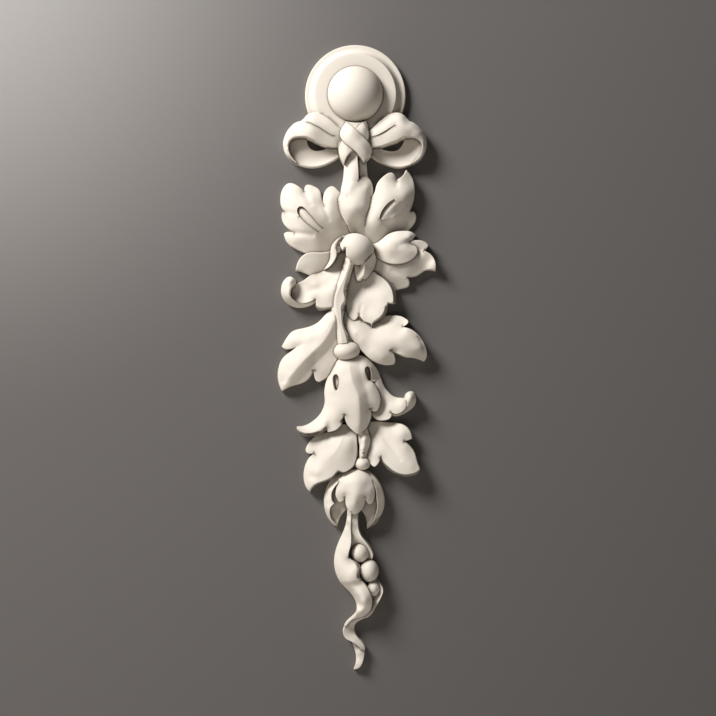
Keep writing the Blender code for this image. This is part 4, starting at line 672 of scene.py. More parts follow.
def flower():
    """The spread leaves around the hanging bud."""
    yield carve("upper_left_leaf", edge=[
        (-56, -92.8, CORNER), (-58.8, -89), (-59.8, -83.4), (-56.8, -72.8), (-53.6, -70.2),
        (-45.6, -72.4), (-40.4, -77, CORNER), (-40.4, -74), (-39, -71.8), (-36, -71.6),
        (-32, -73.2), (-28.4, -76.2), (-27.2, -80.8), (-25.6, -86, CORNER), (-25.4, -80.8),
        (-23.6, -76.2), (-20.8, -73.4), (-18.2, -72.8), (-15, -75), (-11.4, -79, CORNER),
        (-2.6, -109.2, CORNER), (-10.6, -125.2, CORNER), (-20, -125.6), (-24, -126), (-32, -125.4),
        (-38, -126.2, CORNER), (-41, -125), (-49.4, -121.2), (-53.6, -118), (-56.2, -113.6),
        (-57, -109.8, CORNER), (-53.6, -108.8), (-48.2, -109.8, CORNER), (-51.4, -107.8),
        (-55, -104.8), (-57.8, -100.8), (-58.8, -96.2), (-58.4, -93.2, CORNER),
    ], spots=[
        (-59.2, -83.4, 5), (-56.8, -73, 5), (-45.6, -72.6, 7.5), (-40.4, -77, 9.5),
        (-36.8, -72.2, 8), (-31.2, -74.6, 8.5), (-28, -78.4, 10), (-25.4, -86.4, 12),
        (-24.4, -80, 10.5), (-19.2, -73, 9), (-14.6, -76, 9.5), (-10.6, -81.6, 10),
        (-55.8, -92.8, 8), (-58.4, -97, 5), (-56.8, -102.6, 6), (-48.6, -109.6, 10.5),
        (-56.4, -111.6, 4.5), (-52, -119.2, 5), (-45.6, -123.6, 6), (-38.4, -125.4, 7.5),
        (-29.6, -125, 8.5), (-50.2, -79.2, 11), (-43.8, -86.6, 14), (-43.8, -104.8, 14),
        (-48.6, -116.4, 9.5), (-40.6, -115.8, 12), (-35.8, -84.2, 14), (-32.6, -92.4, 15.5),
        (-20.8, -84.2, 14), (-20.8, -93, 15), (-32.6, -109.6, 13.5), (-29.6, -118, 10.5),
        (-20, -101.6, 13), (-11.4, -111.4, 6.5), (-21, -117.6, 5.5), (-20.2, -124.8, 4),
        (-14.4, -92.2, 13.5), (-12.2, -101.4, 11), (-11.4, -96.8, 12), (-8.2, -105.8, 6.5),
        (-17, -109.2, 9),
    ], grooves=[
        ([(-26.8, -73), (-26, -81), (-25.2, -87.2), (-23.2, -93.6), (-20, -101.6)], 1.0, 1.8),
        ([(-62.8, -107.8), (-55, -109.4), (-47.8, -110.2), (-40.6, -111), (-32, -112.6)],
         1.5, 2.2),
        ([(-42.2, -68.2), (-41, -73), (-40, -77.8), (-37.4, -83.4), (-34.4, -89.6)], 1.4, 2.4),
        ([(-62.8, -92), (-56, -93.4), (-50.2, -94.4), (-44.6, -96.8)], 0.9, 2.0),
    ], steps=[
        ([(-24.8, -107), (-29.4, -103), (-33, -98.6), (-37, -94.2), (-40.4, -90.6), (-43, -89.4),
          (-45, -90.2), (-46, -92.4), (-45, -95.6), (-43, -98.6), (-39.6, -102.2), (-35.6, -105.4),
          (-32, -107.8), (-28.2, -110)], 3.4, 5.0, "left", 1.0),
    ])
    yield carve("top_centre_leaf", edge=[
        (-4.8, -108.2, CORNER), (-5.6, -104.8), (-7.8, -101.2), (-13.2, -91.4), (-14.4, -86.6),
        (-13.6, -82.6), (-11.8, -79.6, CORNER), (-11, -73.8), (-9.8, -68), (-9, -62.6, CORNER),
        (2.2, -63.2, CORNER), (3.2, -67.4, CORNER), (7, -65.6), (9.2, -66), (14, -75.8),
        (13.6, -81, CORNER), (12.8, -88.2), (11.6, -98.4), (11.6, -112.6, CORNER),
        (0.6, -112.6, CORNER),
    ], spots=[
        (-11.8, -80.6, 13), (-12.8, -91.4, 13), (-10.2, -96.8, 13), (-7.4, -101.2, 12.5),
        (-5.2, -105.4, 10.5), (-4.8, -107.6, 8.5), (-8.2, -78.8, 15.5), (0.2, -75.2, 17),
        (7.2, -66.8, 13.5), (11.2, -68.8, 12.5), (13.4, -74.6, 12), (13.2, -83.4, 12),
        (11.6, -96.6, 9.5), (11.4, -109, 5.5), (-8.6, -85.2, 16), (-7.4, -91.6, 16.5),
        (-5, -82.2, 16.5), (-2.6, -87, 18), (5.4, -73.4, 16.5), (10.4, -74.2, 15.5),
        (2.2, -81.6, 18), (-1, -91, 18.5), (3.8, -87, 18), (8.4, -83, 16.5), (8.4, -90, 16),
        (-3.4, -95.2, 16.5), (6.8, -95.4, 14), (2.2, -99.2, 13), (-1.8, -104.4, 8.5),
        (7, -101.4, 11), (-2.6, -108.2, 6), (3.8, -109, 5.5), (-8.6, -64, 10.5),
        (-3.4, -64.6, 15.5), (1.8, -64.8, 16), (1.8, -69.6, 17), (-10.8, -75.4, 12),
        (-4.4, -74.4, 17),
    ], grooves=[
        ([(-7.8, -77), (-6.4, -80.2), (-5.2, -83.8)], 0.5, 1.1),
    ], soft=0.5)
    yield carve("upper_right_leaf", edge=[
        (2.2, -115.8, CORNER), (3.8, -101.6), (7, -89.8), (13.6, -81, CORNER), (15.4, -78),
        (17, -72.2), (24.2, -64.2), (28.2, -62.6), (30.4, -63.4), (32.2, -68.4, CORNER),
        (36.2, -66.2), (38.8, -63.2), (40.2, -60.2, CORNER), (43.8, -64), (46.4, -83),
        (43.6, -92.6, CORNER), (46.2, -92.6), (48, -94.4), (48.6, -97.2), (41.8, -107.8),
        (34.6, -112.6, CORNER), (24.4, -120.6), (14.8, -122.2, CORNER),
    ], spots=[
        (4.6, -104.2, 6), (7, -91.8, 10), (8.4, -98.2, 11), (13.6, -82.2, 13),
        (11.6, -101.6, 13.5), (11.2, -109.2, 8), (15.6, -95.6, 17), (20.2, -84.6, 17.5),
        (31.8, -68.8, 14), (40, -61.6, 13), (43.4, -66.2, 11.5), (46.4, -73.8, 11.5),
        (44, -77.2, 13.5), (39.2, -81.4, 16.5), (25.8, -91.8, 18.5), (46.2, -83.2, 10.5),
        (42.6, -88.8, 12.5), (44.6, -94.2, 9), (45.6, -102.6, 6.5), (19.6, -104.8, 14.5),
        (22.8, -110, 9), (29.2, -112.2, 5.5), (35.6, -109, 6), (16.8, -76.4, 14.5),
        (20, -68.8, 14), (24.2, -65.8, 15), (23.4, -74.2, 16), (33, -76.6, 16.5),
        (35.4, -67.8, 14.5), (38.6, -98.8, 9), (34, -103.6, 7.5), (27.6, -104.6, 10),
        (22.6, -100.6, 16), (30.6, -98.6, 15), (37.8, -92.2, 13.5),
    ], grooves=[
        ([(32.4, -60.8), (32.4, -67.2), (33.2, -75)], 1.0, 1.8),
        ([(19.2, -99.4), (22.6, -100.2), (26.2, -100), (30.2, -98.2), (34.2, -95.2), (37.8, -91.4),
          (40.8, -87.4)], -1.3, 1.9),
    ], steps=[
        ([(19.2, -99.8), (20, -95.8), (22.4, -91.2), (26.2, -87), (31, -83.8)],
         4.0, 3.6, "right", 0.5),
    ], banks=[
        ([(54.2, -71), (46, -77.6), (42.4, -81.8), (36.2, -85.8), (31, -88.8), (26.2, -93.4),
          (22.6, -97.2), (19.2, -100.6)], 2.2, 4.8, "left", 0.4),
    ], pockets=[

    ])
    yield carve("right_upper_lobe", edge=[
        (8.4, -118.2, CORNER), (14.8, -118.4), (19.6, -116.2), (25.2, -111.6), (38.6, -108.4),
        (44.6, -109.2), (48, -111.6, CORNER), (44.2, -117, CORNER), (48.2, -120.6), (49.4, -125.4),
        (46.6, -130), (33, -135), (26.2, -134.2), (20.4, -131.6), (8.4, -123.8, CORNER),
    ], spots=[
        (13.2, -119.4, 7), (17.2, -117.6, 9), (24.4, -113, 11.5), (31.4, -109.6, 12),
        (39.4, -109, 11.5), (47, -111.6, 10.5), (44.2, -117, 12), (20.4, -121.4, 13.5),
        (24.2, -117.6, 15.5), (27.4, -124.8, 17), (33, -120.2, 17.5), (33.8, -128, 16),
        (38.4, -116, 16), (27.4, -131, 14), (22.8, -127.8, 13.5), (48.6, -123.8, 13.5),
        (45.6, -130.2, 14), (38.6, -134.2, 14), (31.4, -134.8, 14), (24.4, -133.2, 13),
        (19.6, -129.6, 11.5), (43.2, -113.6, 14.5), (40, -123.2, 16.5), (44, -124.8, 15.5),
    ], grooves=[
        ([(48, -116.4), (43.2, -117.2), (37.8, -119.2), (32.2, -121.6)], 0.8, 2.2),
    ])
    yield carve("right_big_leaf", edge=[
        (31.6, -119.6, CORNER), (44.2, -116.6), (55.4, -117.2), (57.8, -119.6),
        (54.6, -124, CORNER), (59.6, -126.8), (64, -136.8), (63.8, -139.8, CORNER), (59.8, -139),
        (55, -139.8), (51, -142.6), (47, -144.4), (41.4, -144.8, CORNER), (43, -148),
        (42.6, -151.8), (39, -153.6), (31.6, -155.2, CORNER), (18, -153.6, CORNER),
        (13.2, -133, CORNER),
    ], spots=[
        (48.2, -117.4, 12), (52, -116.8, 11.5), (56.8, -119.6, 10.5), (54.4, -124, 11.5),
        (63, -132.4, 11.5), (63.6, -139.4, 10), (54.6, -129.2, 11), (59.4, -132.2, 10),
        (61.2, -136.4, 11), (56.2, -137.4, 8), (51.4, -140.8, 7), (45, -142.6, 8), (34.8, -145, 9),
        (26, -142.6, 9.5), (18, -136.2, 9), (19.6, -151.2, 5.5), (30.8, -154, 5),
        (38, -152.8, 5.5), (42.4, -150.4, 6.5), (38.6, -134.8, 11), (45, -130, 11.5),
        (49.8, -124.4, 11.5), (41, -136.4, 11), (48.2, -134.6, 10), (24.4, -136.2, 10),
    ], grooves=[
        ([(54.4, -124), (47.4, -125.4), (40.2, -128.4)], 1.6, 2.4),
        ([(41.2, -145.2), (34.6, -141.2), (27.6, -138.8)], 1.0, 2.2),
    ])
    yield carve("small_left_leaf", edge=[
        (-17, -123.6, CORNER), (-26.4, -125.4), (-38, -126), (-42.2, -128.4), (-45.2, -132.2),
        (-46.8, -136.2), (-47.4, -139.8, CORNER), (-44.2, -140), (-36.8, -143), (-32.8, -143.4),
        (-21.6, -137, CORNER), (-14.6, -133, CORNER),
    ], spots=[
        (-47, -139.4, 7.5), (-45, -133, 9), (-36, -126.8, 11), (-21, -126.6, 8),
        (-41.6, -140.4, 7), (-32, -142.4, 7), (-24.2, -137.6, 6), (-40.8, -134.6, 9.5),
        (-28, -133, 9), (-16.2, -129.6, 4),
    ], soft=1.0)


def petals():
    """The two open petals under the bud."""
    yield carve("lower_left_petal", edge=[
        (-7.4, -122.8, CORNER), (-15.4, -126, CORNER), (-19.2, -133.2), (-23.2, -138.2),
        (-32.8, -142.2), (-37.2, -144.6), (-40.8, -147.4), (-46.4, -150, CORNER),
        (-53.4, -155.4, CORNER), (-49.4, -162.8, CORNER), (-44.2, -165.6), (-37.6, -165.4),
        (-31.4, -162.6, CORNER), (-31.2, -166.6), (-31, -169.2), (-29.6, -170.6), (-25, -171),
        (-18.8, -170.6, CORNER), (-10.6, -163.2, CORNER),
    ], spots=[
        (-46.4, -150, 8), (-36.4, -144.6, 8.5), (-18.6, -133.6, 5), (-13.8, -127.2, 3.5),
        (-11.4, -132.8, 4.5), (-51.2, -154.4, 6), (-50, -158.4, 5), (-35.2, -164.2, 11.5),
        (-31.4, -163, 12), (-32, -151.4, 10.5), (-41.6, -160.8, 8.5), (-33.6, -158.6, 11),
        (-25.6, -156.2, 12), (-17.6, -153.2, 13.5), (-20, -160.2, 14), (-24.8, -167.8, 13),
        (-28, -170.6, 13), (-20, -170.6, 13.5), (-12.2, -147.4, 12), (-13.6, -161.8, 14),
        (-47.2, -156, 6.5), (-47.2, -162.4, 8.5), (-39.2, -153.6, 8.5), (-44.8, -152, 7),
        (-29.6, -142, 7), (-24.2, -140, 6.5), (-20.2, -141.8, 8), (-16.8, -147.4, 10.5),
        (-24, -148.2, 10), (-20, -151.4, 11.5), (-28, -153.8, 10.5), (-33.6, -155.4, 9.5),
        (-41.6, -165.4, 10),
    ], grooves=[

    ], banks=[
        ([(-34.2, -167.4), (-31, -167.8), (-28.8, -168.6), (-24.8, -169), (-16.8, -168.2)],
         7.0, 1.3, "right", 0.25),
    ])
    yield carve("petal_scroll", edge=[
        (-48.2, -151.2, CORNER), (-47.8, -148.2), (-51.8, -144.6), (-55.2, -146), (-58.4, -160),
        (-52.2, -167.2), (-37, -167.8), (-33.4, -165.8), (-31, -163.6, CORNER), (-35, -165),
        (-39.8, -166.2), (-48.6, -163.4), (-51, -161), (-50.8, -154.6),
    ], spots=[
        (-48, -149.8, 12.5), (-49.8, -153.2, 15), (-50.8, -158, 15.5), (-49.4, -162.4, 13.5),
        (-44.6, -165.4, 11), (-39.8, -166, 11), (-35.2, -164.8, 11.5), (-31.6, -164, 11),
        (-51.8, -145, 11), (-55.2, -146.2, 9.5), (-58, -150.4, 8), (-58.8, -155.2, 7.5),
        (-55.8, -163.8, 5.5), (-52, -167, 4.5), (-41.8, -168.8, 4), (-37, -167.6, 4.5),
        (-33.2, -165.8, 7), (-51.4, -147.8, 15.5), (-54, -152.4, 14.5), (-54.4, -157, 14),
        (-53.2, -161.4, 12.5), (-50.2, -165, 10), (-45.6, -167.2, 7.5), (-40, -167.6, 7),
    ], soft=0.9)
    yield carve("lower_right_petal", edge=[
        (-5.8, -139.6, CORNER), (5.4, -136.4, CORNER), (12.4, -139.8), (23.2, -144.2), (31, -153),
        (32.2, -158.6), (32.2, -165.8, CORNER), (28.6, -165.8), (25.6, -165.2, CORNER),
        (24.6, -173.2), (17.2, -181.8), (13, -185.2, CORNER), (8.4, -183.6), (4.6, -180.2),
        (3.2, -175, CORNER), (1.8, -177.4), (-1.4, -179.6), (-5.4, -175.6), (-7, -168),
    ], spots=[
        (-5, -140.8, 6.5), (17.2, -142.6, 11), (29, -155.4, 14), (28.8, -163.4, 14),
        (25.2, -164.2, 13.5), (23, -168.2, 14), (22, -172.6, 14), (18, -177.6, 14),
        (12.6, -181.6, 14), (4.6, -177.2, 13), (3, -173.2, 12), (-1, -176.8, 11), (-5, -172, 9),
        (-6.6, -163.2, 7), (-5.8, -152, 6), (-0.2, -147.2, 5.5), (-1, -159.2, 6.5), (5.4, -152, 6),
        (16.4, -172.8, 13), (8.4, -172, 11), (31.4, -158.6, 14), (24.4, -171.4, 14),
        (18.8, -180, 14), (12.8, -184, 14), (18, -150.6, 10.5), (22, -161, 13), (7.8, -160.8, 9.5),
        (16.4, -157.8, 11),
    ], grooves=[
        ([(2.6, -182.4), (3, -177.6), (3.8, -172.2), (5.4, -165.8)], 0.9, 1.6),
    ], banks=[
        ([(15.6, -142.4), (21.6, -146), (26, -150.4), (28.8, -155.8), (29.8, -161),
          (29.6, -168.2)],
         7.0, 1.3, "left", 0.3),
        ([(29, -167.8), (25, -167), (23.4, -168.2), (23, -170.2), (22, -173), (18.4, -177.2),
          (13.4, -181.4), (13, -187.2)], 7.0, 1.3, "left", 0.25),
        ([(13, -187.2), (12.6, -182.2), (9, -180.6), (6, -179), (4.4, -177.2), (3.2, -179.6)],
         7.0, 1.3, "left", 0.3),
    ])


def hanging_bud():
    """The round bud, its two sepals and the twisted stem that leaves it."""
    yield carve("bud_throat", edge=[
        (-10.6, -113.2, CORNER), (-14, -117.2), (-15.8, -125.8, CORNER), (-12.6, -125.2),
        (-11.8, -118.4), (-11, -115.4),
    ], spots=[
        (-11, -114.8, 20), (-15.2, -122.6, 19.5), (-15.4, -125.8, 18), (-12.6, -124.4, 16.5),
        (-11.8, -117.4, 18.5),
    ])
    yield carve("bud_ball", edge=[
        (-10.2, -124.2, CORNER), (-12, -120.4), (-11.8, -116), (-4.2, -111), (6.8, -112.6),
        (14.4, -121.6), (14.4, -127.6), (6.4, -134.6), (2.2, -135.8), (-2.2, -134.6, CORNER),
        (-7, -128.8, CORNER), (-7.4, -122.6, CORNER),
    ], dome=(0.2, -123.6, 15.2, 13.6, 12, 26.5))
    yield carve("bud_left_sepal", edge=[
        (-7.6, -112, CORNER), (-11.2, -113.2), (-14.4, -115.4), (-19.2, -122.2), (-19.6, -126.4),
        (-19.8, -129.6), (-23, -136.2), (-25.4, -139.2, CORNER), (-22.2, -138), (-16.4, -131.8),
        (-14.8, -128), (-14.8, -124.2), (-12.8, -119), (-10.2, -117.4, CORNER),
        (-7, -114.6, CORNER),
    ], spots=[
        (-7.6, -112.6, 16), (-11.2, -113.8, 17), (-14.4, -115.8, 17), (-17.2, -118.8, 16.5),
        (-19.2, -123.8, 14.5), (-19.8, -129.2, 12.5), (-22.4, -134.8, 10), (-25.2, -138.4, 8),
        (-13.2, -117.6, 20), (-15.6, -120.8, 20), (-12.6, -119.2, 19), (-14.4, -122.2, 19),
        (-16.2, -124.4, 19), (-16.4, -128.4, 17.5), (-18.6, -134.2, 14), (-22, -137.2, 11.5),
        (-9.2, -115.4, 17.5),
    ], soft=0.5)
    yield carve("bud_right_sepal", edge=[
        (15.2, -126.6, CORNER), (16.6, -130.4), (16.2, -135), (11.6, -143.4), (7.6, -147, CORNER),
        (6.2, -146.2), (4.4, -147.8), (1.6, -148, CORNER), (-0.4, -140.2), (-0.2, -134.2, CORNER),
        (3.8, -133.4), (7.2, -132.6), (10.8, -129.8),
    ], spots=[
        (14.6, -128.2, 18.5), (11.2, -131.8, 19), (8.2, -134.6, 19), (7.2, -137.2, 18.5),
        (7.2, -139.8, 18), (7, -142.2, 17), (5.6, -145, 15.5), (2.6, -147.2, 14),
        (4.4, -135.4, 13.5), (4, -138.8, 13.5), (3.4, -142, 13.5), (1.6, -145.6, 13.5),
        (0.6, -138, 13), (16.2, -131.6, 12.5), (14.8, -137.2, 11.5), (11.6, -142.2, 11),
        (8, -146.2, 11.5), (11.2, -136.6, 15),
    ], grooves=[
        ([(14.8, -127.6), (11.2, -131.4), (8, -134.2), (7, -137.2), (7.2, -140), (7, -142.4),
          (5.6, -145.2), (2.4, -147.6)], -0.8, 0.9),
    ], soft=0.5)
    yield carve("main_stem", edge=[
        (-7.4, -121.8, CORNER), (-7.2, -127.8), (-8.6, -133.8), (-15.6, -153.6), (-19, -161.8),
        (-19.8, -167.4), (-18.2, -173), (-13.8, -198.2, CORNER), (-2.2, -197.4, CORNER),
        (-6.2, -189.6), (-9, -183.6), (-9.8, -178), (-8.4, -170.2), (-7.6, -163.4), (-6, -152.8),
        (-0.6, -133.4, CORNER), (0.6, -123.8, CORNER),
    ], spots=[
        (-7.2, -124.4, 21.5), (-0.2, -126, 21.5), (-8, -133.8, 20.5), (-11.2, -143.8, 18.5),
        (-4.2, -144.6, 18), (-18.4, -162.6, 16), (-8.2, -163.6, 16.5), (-19.2, -168.2, 16),
        (-16, -179.4, 17), (-9.6, -180.8, 17), (-13.6, -190.4, 17.5), (-6.6, -190.4, 17.5),
        (-12, -197.4, 17.5),
    ], banks=[
        ([(-3, -128), (-4.8, -135.2), (-7.4, -143), (-10.8, -150.8), (-14.4, -158),
          (-15.6, -164.4), (-15.2, -171.4), (-13.2, -180), (-11.6, -188.8), (-10.4, -199.8)],
         4.2, 3.6, "right", 0),
        ([(-0.6, -124), (-3, -134.4), (-6, -143), (-8.4, -150.8), (-9.4, -157.2), (-8.6, -163.2),
          (-11.2, -168.2), (-11.2, -174.6), (-10.8, -180.8), (-8.6, -188.8), (-5.8, -199.8)],
         4.5, 2.4, "left", 0),
    ], soft=0.4)


def middle_leaves():
    """The pair of leaves above the bell."""
    yield carve("mid_left_leaf", edge=[
        (-10.6, -168, CORNER), (-17.4, -170), (-19.6, -171.6), (-22.4, -173.6), (-28.4, -179.8),
        (-32.8, -182.8), (-42.4, -185.8), (-50.8, -188.6), (-54, -192.2), (-58.6, -200.2, CORNER),
        (-56.4, -202), (-53, -202.2), (-49.8, -201.6), (-47, -200.8, CORNER), (-50.2, -203.4),
        (-54.2, -206.2), (-57.6, -209.2), (-59.6, -212.4), (-61, -216.4), (-61.6, -226.8),
        (-58.6, -235.8, CORNER), (-50.4, -231.4), (-45.6, -230.2), (-38.2, -226.6),
        (-35.6, -223.4), (-34, -220.4), (-33, -218.8, CORNER), (-32.2, -225.2), (-30.6, -227.8),
        (-28.8, -228.2), (-26.4, -227), (-24.2, -225.8), (-17.8, -217.2, CORNER),
        (-10.6, -203, CORNER),
    ], spots=[
        (-19.6, -172.4, 10), (-28.4, -180.2, 8), (-37.6, -185, 7), (-47.2, -187.2, 6.5),
        (-53.8, -192.6, 6.5), (-57.8, -199.8, 6.5), (-52.6, -201.8, 8.5), (-47.4, -201, 11),
        (-50.2, -203.8, 9), (-57.4, -209.6, 6.5), (-60.6, -216.4, 5.5), (-61.4, -225.2, 5),
        (-59.8, -232, 5), (-58.4, -235.2, 5), (-23.2, -179.2, 13), (-27.2, -185.6, 13.5),
        (-35, -190.2, 13), (-43, -193.4, 12), (-50.2, -194.2, 10.5), (-40.6, -200.6, 14),
        (-33.4, -196.6, 14.5), (-47, -207, 12.5), (-54.2, -212.4, 10), (-57.4, -220.4, 8.5),
        (-51.8, -218.8, 12), (-57.2, -228.4, 7.5), (-16.8, -179.2, 15.5), (-25.4, -196.6, 16.5),
        (-32.6, -203.6, 16.5), (-39.8, -210.4, 16), (-46, -217.4, 14.5), (-51.4, -223.6, 12.5),
        (-55.8, -230, 9.5), (-12, -173, 15), (-12.8, -183.2, 15.5), (-13.6, -195, 15.5),
        (-17.6, -204.6, 16), (-27.2, -220.4, 15), (-28.8, -227.6, 13.5), (-24, -225.2, 13.5),
        (-31, -223.6, 14), (-29.4, -210.8, 16), (-37.4, -218.8, 15), (-43.8, -224.4, 13.5),
        (-50.2, -229.2, 11.5), (-45.4, -229.8, 11.5), (-38.2, -226, 12.5), (-33.2, -219.4, 14.5),
    ], grooves=[
        ([(-33.6, -215.6), (-32.4, -210.8), (-30.4, -205.4)], 0.8, 2.2),
        ([(-50.2, -202.2), (-45.4, -200.2), (-40.6, -197.4)], 0.7, 1.8),
    ], banks=[
        ([(-14.4, -174.4), (-16.8, -180), (-18.4, -184.8), (-21.6, -191), (-25.6, -196.6),
          (-30.4, -201.4), (-35, -205.8), (-39.8, -210.4), (-45.4, -216.4), (-50.2, -222),
          (-53.4, -226), (-56.2, -230.6), (-58.8, -237)], 4.0, 7.5, "left", 0.25),
    ], soft=0.6)
    yield carve("mid_right_leaf", edge=[
        (-12.2, -171.2, CORNER), (3.8, -172.8, CORNER), (24.4, -175.8), (28.4, -175.4),
        (37, -176.4), (40.2, -178.2), (42.2, -180.4), (40.8, -182.6), (37.4, -184.6, CORNER),
        (44, -186.6), (53.4, -195.8), (56.8, -205.4), (56.2, -209.8), (54.6, -212, CORNER),
        (52.6, -211), (44.4, -208.6), (39.6, -208.2), (36.6, -207), (32.6, -205.4),
        (28.2, -203, CORNER), (30, -205.4), (31.2, -208.6), (31.6, -212), (30.8, -214, CORNER),
        (27.6, -214.6), (13.2, -211), (1.4, -199.2), (-5.4, -191.4), (-9.8, -183),
    ], spots=[
        (-9.4, -182.8, 10), (-5.2, -191, 11), (0.6, -197.8, 12), (10.8, -208.6, 13),
        (17.2, -212.8, 13), (24.4, -214.2, 12.5), (30.6, -213.6, 12), (-8.2, -176, 9),
        (-4.2, -183.2, 12.5), (-0.2, -190.4, 15), (4.6, -195.8, 16), (9.2, -202.2, 15),
        (14.8, -207, 16), (21.2, -210, 16.5), (-2.6, -177.6, 9.5), (1.4, -183.2, 12.5),
        (6.2, -187.2, 14), (11.6, -192.8, 15.5), (5.4, -179.2, 9.5), (13.2, -184.8, 10.5),
        (19.6, -180.6, 7), (27.6, -179, 7.5), (34, -177.6, 8.5), (39, -179.2, 10),
        (37.4, -184, 11.5), (29, -185.6, 12.5), (20.4, -188, 13.5), (27.4, -192, 17),
        (35.2, -193.6, 18.5), (41.6, -196.6, 18.5), (32.2, -204.8, 15.5), (40, -186, 15.5),
        (44.2, -187.4, 16), (50.6, -192.8, 15.5), (53.2, -196.6, 15), (55.6, -201.4, 13.5),
        (56.4, -206.2, 12.5), (54.4, -210.8, 11), (46.4, -201.4, 18), (51, -202.2, 17),
        (48, -208.6, 14), (50.4, -206.2, 14.5), (37, -207, 16), (42.4, -207.8, 15.5),
        (28.2, -203.6, 17.5), (24.2, -203, 18), (31, -208.6, 15.5), (23.4, -197.4, 18),
        (34.4, -201.4, 18),
    ], grooves=[
        ([(39.4, -187), (43.8, -188.4), (47.2, -190.4), (50.2, -193.6), (52.6, -197.4),
          (54.4, -201.6), (55.2, -206.2)], 0.5, 0.9),
        ([(0.6, -189.4), (4.6, -193.8), (8.8, -198.6), (12.4, -203.8)], 0.7, 3.0),
    ], soft=0.5)
    yield bead("collar", -6.8, -203.6, 10.6, 7.6, 10, 20.5, turn=-6)


